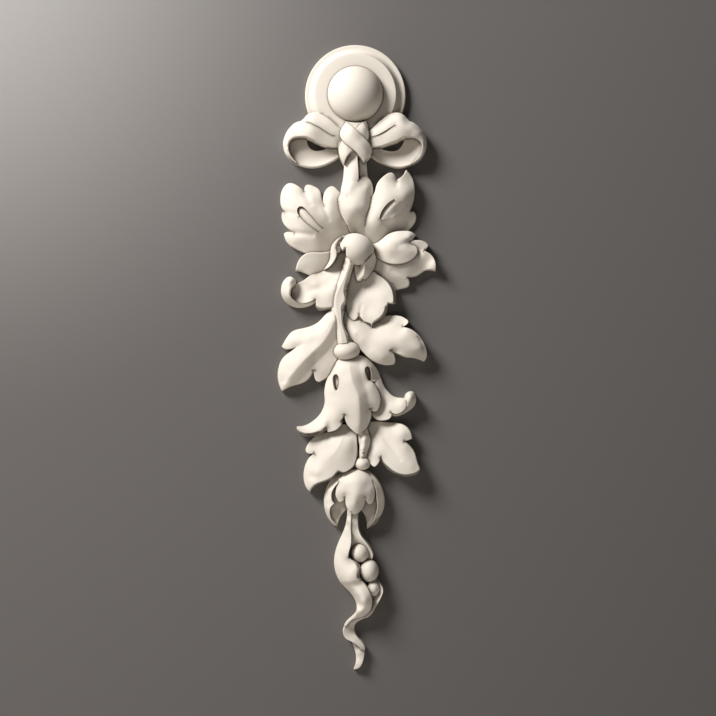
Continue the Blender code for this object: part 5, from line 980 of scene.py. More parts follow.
def bell_flower():
    """The bell: a ridged front, a turned-out right petal and its curled tip."""
    yield carve("bell_right_petal", edge=[
        (3.8, -222, CORNER), (13.2, -223.6, CORNER), (20.2, -224.8, CORNER), (23, -232),
        (26.6, -236.6), (30.2, -239.8), (35, -241.2), (40, -241.4, CORNER), (41.4, -244.2),
        (37.8, -251.4), (30.8, -253.6), (27.8, -251.6, CORNER), (28.8, -253.8), (28.4, -256),
        (22.8, -258.8), (15.8, -257.4), (13.8, -255, CORNER), (8.4, -246.6, CORNER),
        (3.8, -230, CORNER),
    ], spots=[
        (24, -233.2, 7), (34, -240.8, 7.5), (39.8, -241.8, 9), (20.8, -236.2, 10),
        (21.6, -241.8, 8), (21, -246.6, 8), (19.6, -251.4, 9), (25.2, -241, 9),
        (28.4, -243.4, 9.5), (33.8, -245, 11), (37.8, -244.2, 12), (39, -248.8, 13),
        (34.6, -252.4, 13), (30.2, -252.6, 12.5), (23.6, -251.4, 10.5), (26.8, -255.2, 11.5),
        (22.8, -258, 11.5), (18, -257.6, 11), (14.8, -255, 10), (8.6, -234.8, 6),
        (19.2, -232.2, 11), (8.6, -228.4, 9), (14.8, -224.4, 8), (18.8, -225.2, 5.5),
        (13.2, -226.8, 9.5), (16.8, -228.4, 11), (20.6, -226.8, 6), (21.2, -228, 6),
    ], soft=0.5)
    yield carve("bell_curl", edge=[
        (39.8, -242.2, CORNER), (40, -239.2), (44.2, -236.2), (46.4, -236.8), (47.8, -239.2),
        (48.4, -242.6), (47.8, -245.8), (38.2, -253.8), (34, -255.4), (30.4, -255.4),
        (27.6, -253, CORNER), (28.4, -252), (31, -253.4), (34.2, -253.2), (40.4, -248.2),
        (41.2, -244.4),
    ], spots=[
        (40.4, -238.6, 13.5), (46.6, -238.6, 12.5), (40.2, -241.8, 14), (43.2, -240.6, 17),
        (48, -243, 10.5), (42.6, -244.6, 15.5), (46.2, -246.4, 9.5), (41.2, -247.6, 13.5),
        (42.4, -251, 8), (37.8, -252.2, 10.5), (34, -254.4, 8.5), (29.6, -254.2, 8.5),
    ], soft=0.8)
    yield carve("bell", edge=[
        (-11.4, -207.8, CORNER), (-14.8, -211.4), (-18.2, -215.2), (-22.6, -226), (-24.6, -237.2),
        (-24.2, -242.6), (-24.8, -247.4), (-29.6, -256.2), (-33.4, -259.6), (-42.6, -264),
        (-46.4, -264.2, CORNER), (-46, -266.8), (-44.2, -268.8), (-37.4, -271.4), (-26, -268.6),
        (-23, -266.4, CORNER), (-21.8, -267.6), (-18.4, -267.4), (-14.8, -266), (-12, -263.4),
        (-10.8, -260.6), (-11.4, -259, CORNER), (-8.4, -253.6, CORNER), (-7.2, -260),
        (-1.8, -266.8), (1.6, -269.6, CORNER), (4.6, -268), (7.6, -266.2), (10.2, -262.4),
        (12.6, -253.2), (12, -249, CORNER), (13.2, -251), (16.2, -251.8), (18.2, -250),
        (19.6, -246), (19.2, -237.4), (17.4, -233.4), (14.8, -229.6), (13, -227.8, CORNER),
        (16.4, -228.2), (20.8, -227.8, CORNER), (19.6, -223.2), (15.4, -215.6), (7.8, -208.6),
        (4.6, -207.2, CORNER),
    ], spots=[
        (-17, -213.2, 9.5), (-20.6, -220, 8.5), (-22.6, -226.4, 8.5), (-24, -233.2, 8.5),
        (-24.4, -239.4, 8.5), (-24.4, -245.8, 8.5), (-26.8, -252.2, 9), (-36.8, -261.4, 9),
        (-42.4, -263.6, 9.5), (-46, -264.2, 10.5), (-45.2, -265.8, 13.5), (-41, -267.6, 15),
        (-27.4, -265.2, 16.5), (-23.8, -263, 17), (-41.4, -265.6, 12.5), (-35, -264, 12.5),
        (-28.8, -260.4, 13), (-22.8, -266.2, 15.5), (-18.8, -266.8, 15.5), (-14.8, -265.4, 16),
        (-11.2, -258.8, 17), (-8.4, -254, 18.5), (-20.8, -261.4, 15), (-16.8, -259, 16.5),
        (-12.8, -254.2, 18), (-12.2, -210.8, 12), (-3.4, -210, 13.5), (4.6, -208.6, 13),
        (-19.2, -226, 13), (-20.4, -234.6, 13.5), (-20.2, -244.2, 14), (-21.6, -251.2, 13.5),
        (-14.4, -220.4, 16), (-14.8, -229.8, 17), (-15.2, -239.2, 17), (-16, -248.8, 17),
        (-11.2, -215.6, 16.5), (-8.8, -222.6, 19), (-8, -233, 20), (-4.2, -216.4, 18.5),
        (-3, -226.6, 21.5), (-0.2, -233.6, 22), (2.4, -240.8, 22.5), (3.2, -247, 22),
        (3.4, -255, 20.5), (2.8, -262.8, 19), (1.6, -268.8, 17), (-2.6, -240.8, 21.5),
        (-2, -248.6, 21), (-3.8, -263.2, 17.5), (3.8, -215.6, 18), (5.2, -222.6, 20),
        (6.8, -231.4, 20.5), (9.2, -240, 20.5), (8.8, -248.6, 20), (7.6, -265.4, 17),
        (12, -249.6, 18), (14.4, -238.4, 19.5), (17.6, -237.6, 18), (19.4, -243.2, 17),
        (16.4, -246.4, 18), (16.4, -251.2, 16.5), (16.8, -233.4, 17.5), (13.6, -229.4, 18),
        (20.2, -226.8, 8.5), (15.4, -216.4, 9), (11.6, -212.2, 10), (8, -209.2, 11),
        (15.2, -222, 13.5), (12.8, -216.8, 14.5), (16.8, -227, 12.5), (14.2, -226.2, 14),
        (8.4, -213.2, 15.5),
    ], grooves=[

    ], steps=[

    ], banks=[
        ([(-4.4, -201.4), (-4.2, -209.2), (-4.2, -217.2), (-3.4, -222.8), (-2, -228.2),
          (0.6, -234.2), (2.4, -240), (3.2, -246.4), (3.4, -254.2), (3, -262.2), (1.6, -272.4)],
         2.8, 7.5, "left", 0.35),
        ([(-50.8, -261.8), (-45.6, -266.2), (-43, -267.4), (-40.2, -268.2), (-36.8, -268.4),
          (-33.4, -268), (-29.6, -266.8), (-26.2, -265.2), (-23.4, -263), (-21, -269.2)],
         6.0, 1.3, "right", 0.25),
    ], pockets=[
        ([(-14.4, -235.8), (-12.8, -231.8), (-12.6, -226.6), (-13.6, -223.2), (-15.4, -222),
          (-17.2, -223.2), (-17.8, -226.6), (-17.2, -231), (-15.6, -235)], 5.5, 0.8),
        ([(12.4, -227.8), (12.6, -222), (11.6, -217.6), (9.8, -215.8), (8, -216.8), (7.6, -220),
          (8.8, -223.8), (10.6, -227.2)], 8.5, 0.8),
    ], soft=0.6)


def lower_leaves():
    """The pair of leaves under the bell and the stem between them."""
    yield carve("lower_left_leaf", edge=[
        (-8.2, -262, CORNER), (-16.2, -264.8), (-21.6, -268), (-28, -270), (-36.6, -276.4),
        (-38.8, -280.2), (-39.4, -283.8), (-38, -285.2), (-35.2, -285.4), (-32.2, -285, CORNER),
        (-35.8, -288), (-38.6, -292), (-37.8, -314.4), (-36, -316.4, CORNER), (-35.2, -314.4),
        (-32.4, -311.6), (-23.2, -307.4), (-16.4, -304), (-14.2, -299.6, CORNER), (-12.6, -300.8),
        (-4.2, -300.6), (-1.4, -298), (0.8, -294.8), (1.6, -289.4), (1.2, -271.2),
        (1.4, -264.8, CORNER),
    ], spots=[
        (-36.4, -276.6, 6), (-39, -283.4, 6), (-35.2, -285, 8), (-32.4, -284.8, 9.5),
        (-35.6, -288, 7), (-39, -293.4, 6), (-41, -302.4, 5.5), (-36.8, -315.2, 6.5),
        (-21.6, -270.8, 8), (-9.8, -268, 9.5), (-4.2, -269.2, 10), (0.6, -272.8, 11),
        (-17.6, -273.4, 12.5), (-24.8, -275.2, 11), (-31.2, -278.4, 9.5), (-26.4, -282.2, 12.5),
        (-20, -279, 13.5), (-32.8, -291.8, 10.5), (-28, -287.8, 13), (-33.6, -303.6, 11),
        (-36.8, -308.6, 9), (-20.8, -287.8, 16), (-31.4, -300.8, 14), (-34.8, -307.6, 11.5),
        (-35.6, -312.2, 9.5), (-4.2, -274.2, 14), (-4.2, -281.2, 15.5), (-5.8, -288.2, 16),
        (-16, -289, 16.5), (-20.8, -296.2, 16), (-27, -302.6, 15), (-32.2, -307.2, 13),
        (-23.2, -303.8, 16), (-15, -295, 16.5), (-11.2, -297, 16.5), (-2.2, -292, 15),
        (0, -283.6, 13.5), (0.8, -277.4, 12.5),
    ], grooves=[
        ([(-9.8, -269.4), (-11.6, -275.8), (-15.2, -282.2), (-20.8, -288.4)], -0.35, 1.2),
    ], banks=[
        ([(-38.2, -318.6), (-36, -313.6), (-33.4, -310), (-28.4, -307.2), (-23.6, -305.4),
          (-19.8, -303.6), (-16.6, -300.8), (-14.6, -298.4), (-13.8, -302.8)],
         7.5, 1.3, "right", 0.25),
        ([(-14.2, -302.8), (-14, -297.6), (-11.4, -298.6), (-9, -299), (-6.8, -298.4),
          (-4, -296.6), (-1.4, -293.8), (0.2, -289.2), (1.8, -282.2)], 7.5, 1.3, "right", 0.25),
    ], soft=0.6)
    yield carve("lower_right_leaf", edge=[
        (8.4, -261.6, CORNER), (15.8, -260), (26.2, -260.8), (39, -262.8), (44.2, -268.8),
        (45.2, -273.4, CORNER), (41.8, -274.6), (38.4, -275.2, CORNER), (42.2, -278),
        (47.4, -285.4), (48.6, -290), (51.4, -297.4, CORNER), (50.6, -299.6), (47.4, -302),
        (37.6, -303), (28.2, -299.4), (24.2, -296), (21.4, -292.4), (19.8, -288.2, CORNER),
        (19, -291.4), (17.6, -293.6), (15.2, -295.4), (12.8, -294), (10.4, -290.8), (9, -287),
        (10, -283.2), (12.4, -274.8), (11.6, -269.6), (9.8, -265.4),
    ], spots=[
        (11.8, -262.6, 5), (27.6, -262.6, 6.5), (40.2, -265.2, 10.5), (43.8, -269.6, 11),
        (44.6, -273, 11), (38.6, -275, 13), (13.2, -269.8, 6.5), (26, -267.2, 9.5),
        (37.8, -269, 12.5), (21.2, -272.8, 11), (27.6, -273.4, 12), (11.2, -281.6, 9.5),
        (9.8, -287.4, 10.5), (14.8, -283, 12), (14.8, -293.6, 13.5), (11.6, -291, 11.5),
        (18.8, -290.8, 13.5), (19.8, -288.8, 14), (19.6, -280.6, 12.5), (24.4, -285.2, 14),
        (33.8, -282, 15), (39.4, -279.6, 15), (44.6, -281.4, 13.5), (26.6, -293, 15.5),
        (49.2, -292.8, 15), (44.8, -294.6, 17), (38.4, -296.2, 17), (44, -299.2, 17),
        (37.6, -299.4, 17),
    ], grooves=[
        ([(16.4, -264.8), (22, -271.8), (27.4, -278.6), (33, -285.6), (37, -290.8)], 1.0, 2.2),
    ], banks=[
        ([(55.2, -293.2), (50.4, -297.4), (47.2, -299.4), (42.8, -300.6), (38.2, -300.8),
          (33.8, -299.8), (29.4, -297.6), (25.4, -294.2), (22.2, -290.6), (20.6, -286.4),
          (19.2, -291.6)], 7.5, 1.3, "left", 0.25),
    ], soft=0.6)
    yield carve("lower_stem", edge=[
        (1.8, -266.4, CORNER), (9.2, -264.4, CORNER), (10.6, -269.2), (11.8, -273), (12, -276.6),
        (9.6, -285.4), (9, -289, CORNER), (2.4, -289, CORNER), (3.2, -279), (2.4, -274.2),
    ], spots=[
        (2.6, -271.2, 9), (3.2, -279.2, 9), (2.8, -286.4, 9), (5.4, -267.8, 13.5),
        (6.6, -274, 16.5), (5.8, -280.4, 16), (5, -286.8, 15), (10.2, -269.6, 11),
        (11.6, -275.2, 11), (10, -282.2, 10.5), (9, -287, 10.5),
    ], soft=0.4)
    yield bead("small_bead", 5.8, -293.2, 6.2, 5.2, 9, 17.5)


def small_bud():
    """The open bud: a hollow cup, two side shells and a lobed dome."""
    yield carve("bud_cup", edge=[
        (-4.2, -300, CORNER), (-11.4, -301.6), (-17.8, -305.4), (-22.4, -312.8), (-24.8, -320.2),
        (-24.4, -328.8), (-21.6, -336.8), (-14.6, -343.4, CORNER), (-12.6, -337),
        (-7, -329.8, CORNER), (4.6, -330.2, CORNER), (8, -335.6), (9.4, -344.8, CORNER),
        (14.8, -341.8), (22.8, -327.8), (20.2, -311.4), (15, -304), (8.6, -300.4, CORNER),
    ], spots=[
        (-8.2, -303.2, 8), (-20.2, -310.4, 6), (-20.2, -337.6, 5.5), (-13.8, -337.4, 6.5),
        (-11, -333.2, 5.5), (-7.4, -330.2, 5), (-0.2, -314.4, 6), (-16.4, -339.4, 6.5),
        (5, -331.4, 4), (8.2, -336, 5), (9.4, -343.6, 7.5), (15.6, -334.2, 7.5), (11.6, -339.6, 8),
        (14.4, -337.8, 8.5), (22, -328.6, 7), (14.8, -304.6, 8), (-12.2, -324, 5),
        (-17, -326.4, 5), (-8.2, -327.2, 4.5), (-19.4, -331.2, 6), (-15.4, -329.6, 4.5),
        (-12.2, -330.4, 4.5), (-17.8, -335, 7), (-14.6, -335.2, 6), (9.4, -326.6, 4),
        (14.2, -325.6, 5), (10.2, -331.2, 5), (14.8, -330.2, 7), (12.4, -335, 7.5),
        (7, -331.2, 4.5),
    ])
    yield carve("bud_left_shell", edge=[
        (-2.6, -300, CORNER), (-8.2, -299.8), (-12.2, -301.4), (-20, -307.8), (-24.2, -330.4),
        (-20.2, -339.2), (-17, -342.4), (-14.6, -343.6, CORNER), (-16, -340.4), (-18.4, -337.8),
        (-20, -334.4), (-19.2, -327), (-16.6, -324.4, CORNER), (-18, -322.6), (-18.2, -314.6),
        (-13, -307.4, CORNER), (-4.2, -303.6, CORNER),
    ], spots=[
        (-8.2, -300.4, 10.5), (-12.2, -302.2, 9), (-16.2, -304.8, 8), (-20.2, -308.8, 7),
        (-22.8, -314, 6.5), (-24.2, -319.2, 6), (-24.6, -324.8, 6), (-23.8, -330.4, 6),
        (-22.2, -335, 6), (-19.4, -339.4, 6), (-15.4, -343, 6), (-14.4, -308.6, 15.5),
        (-17.2, -312, 15), (-18.4, -316.8, 15), (-18.2, -321.2, 15), (-17, -324, 14.5),
        (-19.2, -326.6, 14), (-20.2, -330.8, 13), (-19.6, -335, 11.5), (-17.6, -338.8, 9.5),
        (-15.2, -342.4, 7.5), (-20.8, -314, 12), (-21.6, -321.8, 12), (-22.2, -328.2, 11),
        (-7.4, -303.6, 12.5), (-4.2, -299.8, 10),
    ], soft=0.5)
    yield carve("bud_right_shell", edge=[
        (3.8, -299.6, CORNER), (7.6, -299.2), (19.2, -308.8), (21.6, -314.2), (22.4, -329.6),
        (20.4, -334.4), (13.8, -342.6), (9.4, -345, CORNER), (13, -340), (17.4, -325.6),
        (16.8, -321, CORNER), (16.8, -316.2), (13.4, -306.8, CORNER), (5.4, -304.4, CORNER),
    ], spots=[
        (11.6, -301.2, 12), (15.6, -304.2, 11.5), (18.8, -308.4, 11), (21.2, -314, 10.5),
        (22.8, -319.6, 10), (22.8, -324.8, 10), (22.2, -329.6, 9.5), (17, -338.8, 8),
        (13.4, -342.2, 8), (16, -311.6, 15), (17.4, -316.4, 14.5), (17.4, -320.8, 14),
        (17.6, -330.4, 13), (16.2, -335.2, 12), (13.6, -340, 10.5), (10, -344.4, 8.5),
        (20.4, -324.2, 12), (19.6, -330.6, 11), (10, -304.2, 14.5), (13.6, -307.4, 15),
        (7.6, -299.6, 12),
    ], soft=0.5)
    yield carve("bud_dome", edge=[
        (-5, -298.6), (-12.2, -303.4), (-13.2, -304.8), (-13.4, -307.4), (-14.8, -310.4),
        (-15.6, -314.2), (-15.6, -318.2), (-14.4, -321.4), (-12.8, -323.4), (-10.8, -323.2),
        (-8, -319, CORNER), (-6.2, -328.4), (-3.8, -331.2), (-0.6, -333.2), (3.8, -330.6),
        (7.4, -325), (8, -321, CORNER), (9, -323), (10.8, -325), (12.6, -325), (14.2, -322.8),
        (15.6, -315), (15, -311), (14, -307.8), (13.6, -305), (6.8, -298.8),
    ], spots=[
        (0.6, -298.4, 12.5), (-5.8, -299.6, 11.5), (-12.8, -305.8, 14.5), (-13.6, -309, 14.5),
        (-15, -313, 14), (-15.2, -318.6, 13.5), (-13.2, -323.4, 13), (-9.8, -322, 14.5),
        (-4.2, -303.2, 17), (2.2, -303.2, 18.5), (8.4, -304.8, 17.5), (-9.6, -307.2, 17),
        (-12, -312.6, 17), (-10, -315.8, 17.5), (-5.8, -311, 19), (-0.2, -310, 21),
        (9.2, -311, 18.5), (13.2, -311.8, 17), (-4.2, -317.2, 19.5), (0.6, -317, 21.5),
        (4.6, -317.2, 20.5), (12.4, -317.4, 17.5), (15, -316, 15.5), (-5, -324.4, 18),
        (-0.2, -324.2, 20), (4.6, -323.6, 17.5), (-0.6, -330.8, 17), (11.4, -322.8, 16),
        (11.6, -325.2, 14), (-10.6, -301.6, 10), (11.6, -302.4, 13),
    ], grooves=[
        ([(-8, -325), (-8, -320.2), (-7.6, -315.6)], 0.9, 1.3),
        ([(8, -326.6), (7.8, -321.8), (7.8, -317)], 1.1, 1.4),
    ], soft=0.8)


def pea_pod():
    """The pod, its front shell, and the twisted tail."""
    yield carve("pod_back", edge=[
        (-3.4, -327, CORNER), (2, -327, CORNER), (2, -334.2), (4.8, -350.4), (7.6, -354),
        (12.6, -361.2), (13.8, -367.6), (12.2, -370.4, CORNER), (13, -381.8, CORNER),
        (17.8, -386.6), (20.2, -389), (22, -393.6), (21.2, -397.2), (16, -407.2), (13.2, -412.2),
        (8.6, -416.2, CORNER), (4.6, -411.2), (2.2, -404), (-1, -396.2), (-6.6, -389),
        (-11.4, -379.4), (-9.8, -360.4), (-5, -349.2),
    ], spots=[
        (-2.6, -328, 13), (1.4, -328.2, 12.5), (5.4, -354.2, 13), (8.8, -358.2, 12.5),
        (11.6, -362.8, 11.5), (12.4, -368.2, 9.5), (-4.2, -359.6, 7), (2.2, -360.8, 4.5),
        (6.2, -367.2, 4), (-7.4, -370.2, 6), (0.6, -382.4, 4), (8.6, -386.2, 4.5),
        (13.4, -390.2, 5), (14.8, -397.2, 5.5), (12.8, -405, 6.5), (18.2, -386.4, 11.5),
        (20.8, -390.4, 12), (18.6, -399.6, 11), (15.6, -405, 10.5), (12.2, -410.6, 10),
        (8.6, -415.4, 9), (5.4, -408, 8), (-1.8, -336, 13), (1.6, -336, 12.5), (-1.8, -344, 13),
        (2.2, -344, 12), (-0.2, -354.4, 10.5),
    ], soft=0.5)
    yield carve("tail_shell", edge=[
        (-6.4, -326.6, CORNER), (-6.4, -334.4), (-8.8, -346), (-13.6, -357.2), (-16.8, -373.4),
        (-10.4, -389.8), (-3, -397.6), (1.2, -406.8), (1.2, -411), (-3.8, -416.8), (-7.2, -420.2),
        (-8.8, -423, CORNER), (-7.4, -423.2, CORNER), (-5.2, -419.8), (-2, -417.2), (2.2, -415.8),
        (10.4, -411), (13.4, -402.4), (12.8, -398), (6.2, -386.4), (4.6, -384.8, CORNER),
        (3.4, -382.2), (4.2, -375.6), (0, -370.4), (-3.4, -368.6), (-5.6, -366.6, CORNER),
        (-5.2, -363.2), (-4, -359.2), (-3.4, -345.8), (-3.4, -337.8), (-2.6, -326.6, CORNER),
    ], spots=[
        (-6.2, -330, 10), (-6.4, -335.6, 8.5), (-7.8, -342.8, 8), (-10.6, -350.8, 7.5),
        (-13.2, -356.8, 7), (-15.4, -362.8, 7), (-16.4, -370, 7), (-15.6, -378, 7),
        (-13.2, -384.8, 7), (-9.8, -389.8, 7), (-4.6, -395.4, 7), (-0.6, -400.6, 7.5),
        (1.4, -406.4, 8), (-3.8, -353, 16), (-5.6, -365.6, 17), (-8.4, -353.4, 12.5),
        (-10.8, -359.8, 12), (-7.4, -360.2, 15.5), (-12.2, -367, 12), (-12.4, -375, 12),
        (-8.2, -374.4, 15.5), (-4.2, -370.4, 16.5), (-1, -371.8, 17.5), (-4.2, -376.4, 18),
        (-0.2, -375.6, 19.5), (-0.6, -381, 20), (-10, -382.8, 13), (-6.6, -386.6, 15),
        (-1.8, -385, 18.5), (2.6, -374.8, 19), (2.2, -378.6, 19.5), (2.6, -383, 19.5),
        (-2.6, -391, 16), (1.4, -388.2, 18), (5.6, -388, 18.5), (2.2, -395.4, 19), (6, -393.6, 20),
        (9.8, -393.4, 19), (12.6, -400.2, 17.5), (5.2, -401.4, 20), (9.8, -401.4, 20),
        (-4.2, -331, 15), (-3.8, -337.4, 14), (-3.8, -345.4, 14), (-5.4, -337.6, 13.5),
        (-6.2, -345.4, 13), (5.4, -407.4, 17.5), (0.8, -412.4, 14), (-2.8, -415.8, 12),
        (2.2, -408.4, 15.5), (5, -411, 16), (8.4, -410.6, 15), (2.2, -414.6, 12.5),
        (6.2, -413, 14), (9.2, -406.2, 18), (-6.2, -419, 10.5), (-7.8, -422.6, 9),
    ], grooves=[
        ([(-13.6, -362), (-9.8, -367.6), (-5.8, -373), (-2.6, -377.8)], 0.7, 3.0),
    ], banks=[
        ([(-2.2, -364), (-4.4, -367), (-1.4, -370.2), (0.8, -373), (1.6, -376), (0.8, -379.4),
          (1, -382.4), (6.2, -385.2)], 5.0, 1.4, "left", 0.25),
        ([(-19.2, -390), (-12, -387.6), (-7.4, -386.4), (-3.4, -385.4), (0.6, -384.4),
          (4.6, -382.8), (8.4, -380.6)], 2.0, 4.0, "right", 1.0),
    ], soft=0.5)
    yield carve("tail_ribbon", edge=[
        (3, -411.6, CORNER), (-0.4, -416), (-4.2, -418.6), (-7.6, -422.4), (-9.6, -426),
        (-7.6, -432), (-4.2, -434), (2.6, -438.4), (5, -442, CORNER), (7.6, -441.8, CORNER),
        (7.6, -439.4), (5.8, -436), (0.6, -430), (-0.4, -422), (5.8, -417), (9.4, -415.4, CORNER),
    ], spots=[
        (-8.8, -423.8, 9), (-3.4, -434, 9.5), (4.2, -440.4, 9), (-1.8, -417, 10),
        (-4.6, -419.4, 9.5), (-6.6, -422.2, 9), (2.2, -414.6, 9.5), (6.2, -415.6, 8),
        (5.4, -417.2, 7), (1.8, -419.6, 6), (-0.6, -422.6, 5), (-0.8, -426, 4.5), (0.6, -429.4, 5),
        (5.8, -435.2, 7), (7.4, -438.8, 7.5), (6.4, -441.2, 8), (-5, -425.6, 7.5),
        (-0.8, -432.8, 8.5), (3.8, -436.8, 8.5),
    ], soft=0.4)
    yield carve("tail_tip", edge=[
        (-3, -435, CORNER), (0.2, -444.2), (0.2, -453.8), (-1.2, -457.8, CORNER), (2.2, -456.6),
        (6.6, -449), (7.6, -440.4, CORNER), (2.2, -435.2),
    ], spots=[
        (-1.8, -437, 4.5), (0.4, -442, 5), (0.8, -448.4, 5), (-0.2, -456.6, 4.5), (3.2, -443.2, 7),
        (2.8, -451.6, 7), (6.2, -449.4, 6.5), (7, -441.8, 6), (2.2, -436.4, 5),
    ], soft=0.4)
    yield bead("pea_upper", 3.8, -364.2, 7, 7.4, 8, 16.5)
    yield bead("pea_middle", 11.2, -378.4, 7.4, 9, 8, 18)
    yield bead("pea_lower", 14.8, -392, 5.2, 6.4, 7.5, 15)


def quarter_round(radius, height, soft, shares):
    """(radius, height) pairs round the outer upper edge of a turned form."""
    return [
        (
            radius - soft + math.cos(share * math.pi / 2) * soft,
            height - soft + math.sin(share * math.pi / 2) * soft,
        )
        for share in shares
    ]


def rosette(sizes):
    """The turned plate with its hollow moulding, and the round boss on it."""
    rim, disc = sizes.rosette_radius / MM, sizes.disc_radius / MM
    rim_height, disc_height = sizes.rim_height / MM, sizes.disc_height / MM
    flare = (rim_height + BEHIND_WALL) * WALL_DRAFT
    profile = [(rim + flare, -BEHIND_WALL)]
    profile += quarter_round(rim, rim_height, RIM_ROUND, np.linspace(0.0, 1.0, RIM_POINTS))
    rise = disc_height - rim_height - DISC_ROUND
    hollow = rim - RIM_FLAT - disc
    for share in np.linspace(0.0, 1.0, HOLLOW_POINTS):
        profile.append((disc + hollow * (1 - share), rim_height + rise * share ** HOLLOW_POWER))
    shares = np.linspace(DISC_START, 1.0, DISC_POINTS)
    profile += quarter_round(disc, disc_height, DISC_ROUND, shares)
    profile += [(radius, disc_height) for radius in DISC_RINGS]
    boss = sizes.boss_radius / MM
    yield turned("rosette_plate", profile, ROSETTE_SIDES)
    yield bead("boss", 0.0, 0.0, boss, boss, disc_height - BOSS_SINK, sizes.boss_height / MM)


def opening(name, edge):
    """A prism through the full depth of the carving, for a gap that shows the wall."""
    outline = trace_outline(edge)
    outline = outline + outward_normals(outline) * OPENING_EASE
    count = len(outline)
    points = [(x, OPENING_BACK, z) for x, z in outline]
    points += [(x, -OPENING_FRONT, z) for x, z in outline]
    faces = [tuple(reversed(range(count))), tuple(range(count, 2 * count))]
    for j in range(count):
        k = (j + 1) % count
        faces.append((j, k, count + k, count + j))
    return solid_from(name, points, faces)


def linear(colour_hex):
    """An sRGB colour such as "e8e2d4" as the linear values that shaders take."""
    values = [int(colour_hex[i:i + 2], 16) / 255 for i in (0, 2, 4)]
    values = [v / 12.92 if v <= 0.04045 else ((v + 0.055) / 1.055) ** 2.4 for v in values]
    return (*values, 1.0)


def add_node(tree, kind, settings=None, inputs=None, links=None):
    """Adds a node with its settings and input values, and links inputs to other outputs."""
    node = tree.nodes.new(kind)
    for key, value in (settings or {}).items():
        setattr(node, key, value)
    for key, value in (inputs or {}).items():
        node.inputs[key].default_value = value
    for key, socket in (links or {}).items():
        tree.links.new(socket, node.inputs[key])
    return node


def primed_polyurethane(colours):
    """Rigid polyurethane foam, moulded in a closed mould and sprayed with a matt primer.

    The primer gives the eye a warm white with a soft, wide sheen.  The skin of the foam
    shows as a very faint grain and the spray as a slow drift in tone.  Painted shade darkens
    the inner corners: a thin darker line with a paler shade beside it.
    """
    material = bpy.data.materials.new("primed moulded polyurethane")
    material.use_nodes = True
    tree = material.node_tree
    shader = tree.nodes["Principled BSDF"]
    place = add_node(tree, "ShaderNodeTexCoord")
    # The real grain is about 0.3 mm, too fine to show, so it is drawn 2.4 mm wide
    grain = add_node(
        tree, "ShaderNodeTexNoise",
        inputs={
            "Scale": 1 / (GRAIN_SIZE * MM), "Detail": GRAIN_DETAIL, "Roughness": GRAIN_ROUGHNESS,
        },
        links={"Vector": place.outputs["Object"]},
    )
    bump = add_node(
        tree, "ShaderNodeBump",
        inputs={"Strength": GRAIN_STRENGTH, "Distance": GRAIN_DEPTH * MM},
        links={"Height": grain.outputs["Fac"]},
    )
    tree.links.new(bump.outputs["Normal"], shader.inputs["Normal"])
    drift = add_node(
        tree, "ShaderNodeTexNoise",
        inputs={
            "Scale": 1 / (DRIFT_SIZE * MM), "Detail": DRIFT_DETAIL, "Roughness": DRIFT_ROUGHNESS,
        },
        links={"Vector": place.outputs["Object"]},
    )
    body = add_node(
        tree, "ShaderNodeMix", {"data_type": "RGBA"},
        inputs={"A": tuple(colours.primer), "B": tuple(colours.primer_warm)},
        links={"Factor": drift.outputs["Fac"]},
    )
    # Painted shade: the colour darkens towards a dark brown in the inner corners, by the stored
    # attribute
    crease = add_node(tree, "ShaderNodeAttribute", {"attribute_name": PAINTED_SHADE_ATTRIBUTE})
    tone = add_node(
        tree, "ShaderNodeMix", {"data_type": "RGBA"},
        inputs={"B": tuple(colours.crease)},
        links={"A": body.outputs["Result"], "Factor": crease.outputs["Fac"]},
    )
    tree.links.new(tone.outputs["Result"], shader.inputs["Base Color"])
    shader.inputs["Roughness"].default_value = PRIMER_ROUGHNESS
    shader.inputs["IOR"].default_value = PRIMER_IOR
    shader.inputs["Specular IOR Level"].default_value = PRIMER_SPECULAR
    return material


def matt_paint(name, colour):
    """Emulsion paint, rolled on: one even colour with almost no sheen."""
    material = bpy.data.materials.new(name)
    material.use_nodes = True
    shader = material.node_tree.nodes["Principled BSDF"]
    shader.inputs["Base Color"].default_value = tuple(colour)
    shader.inputs["Roughness"].default_value = PAINT_ROUGHNESS
    shader.inputs["Specular IOR Level"].default_value = PAINT_SPECULAR
    return material


def painted_wall(colours):
    """A wall painted mid grey, with a pool of light painted on near one upper corner, and clear
    from behind.
    """
    material = matt_paint("painted wall", colours.wall)
    tree = material.node_tree
    shader = tree.nodes["Principled BSDF"]
    place = add_node(tree, "ShaderNodeTexCoord")
    apart = add_node(
        tree, "ShaderNodeVectorMath", {"operation": "DISTANCE"},
        inputs={1: LIGHT_CORNER}, links={0: place.outputs["Object"]},
    )
    fade = add_node(
        tree, "ShaderNodeMapRange", {"interpolation_type": "SMOOTHSTEP"},
        inputs={"From Min": 0.0, "From Max": LIGHT_REACH, "To Min": 0.0, "To Max": 1.0},
        links={"Value": apart.outputs["Value"]},
    )
    # Painted light: the wall's colour turns lighter towards LIGHT_CORNER, for a pool of light
    blend = add_node(
        tree, "ShaderNodeMix", {"data_type": "RGBA"},
        inputs={"A": tuple(colours.wall_painted_light), "B": tuple(colours.wall)},
        links={"Factor": fade.outputs["Result"]},
    )
    tree.links.new(blend.outputs["Result"], shader.inputs["Base Color"])
    geometry = add_node(tree, "ShaderNodeNewGeometry")
    clear = add_node(tree, "ShaderNodeBsdfTransparent")
    mix = add_node(
        tree, "ShaderNodeMixShader",
        links={
            0: geometry.outputs["Backfacing"],
            1: shader.outputs["BSDF"],
            2: clear.outputs["BSDF"],
        },
    )
    tree.links.new(mix.outputs["Shader"], tree.nodes["Material Output"].inputs["Surface"])
    return material


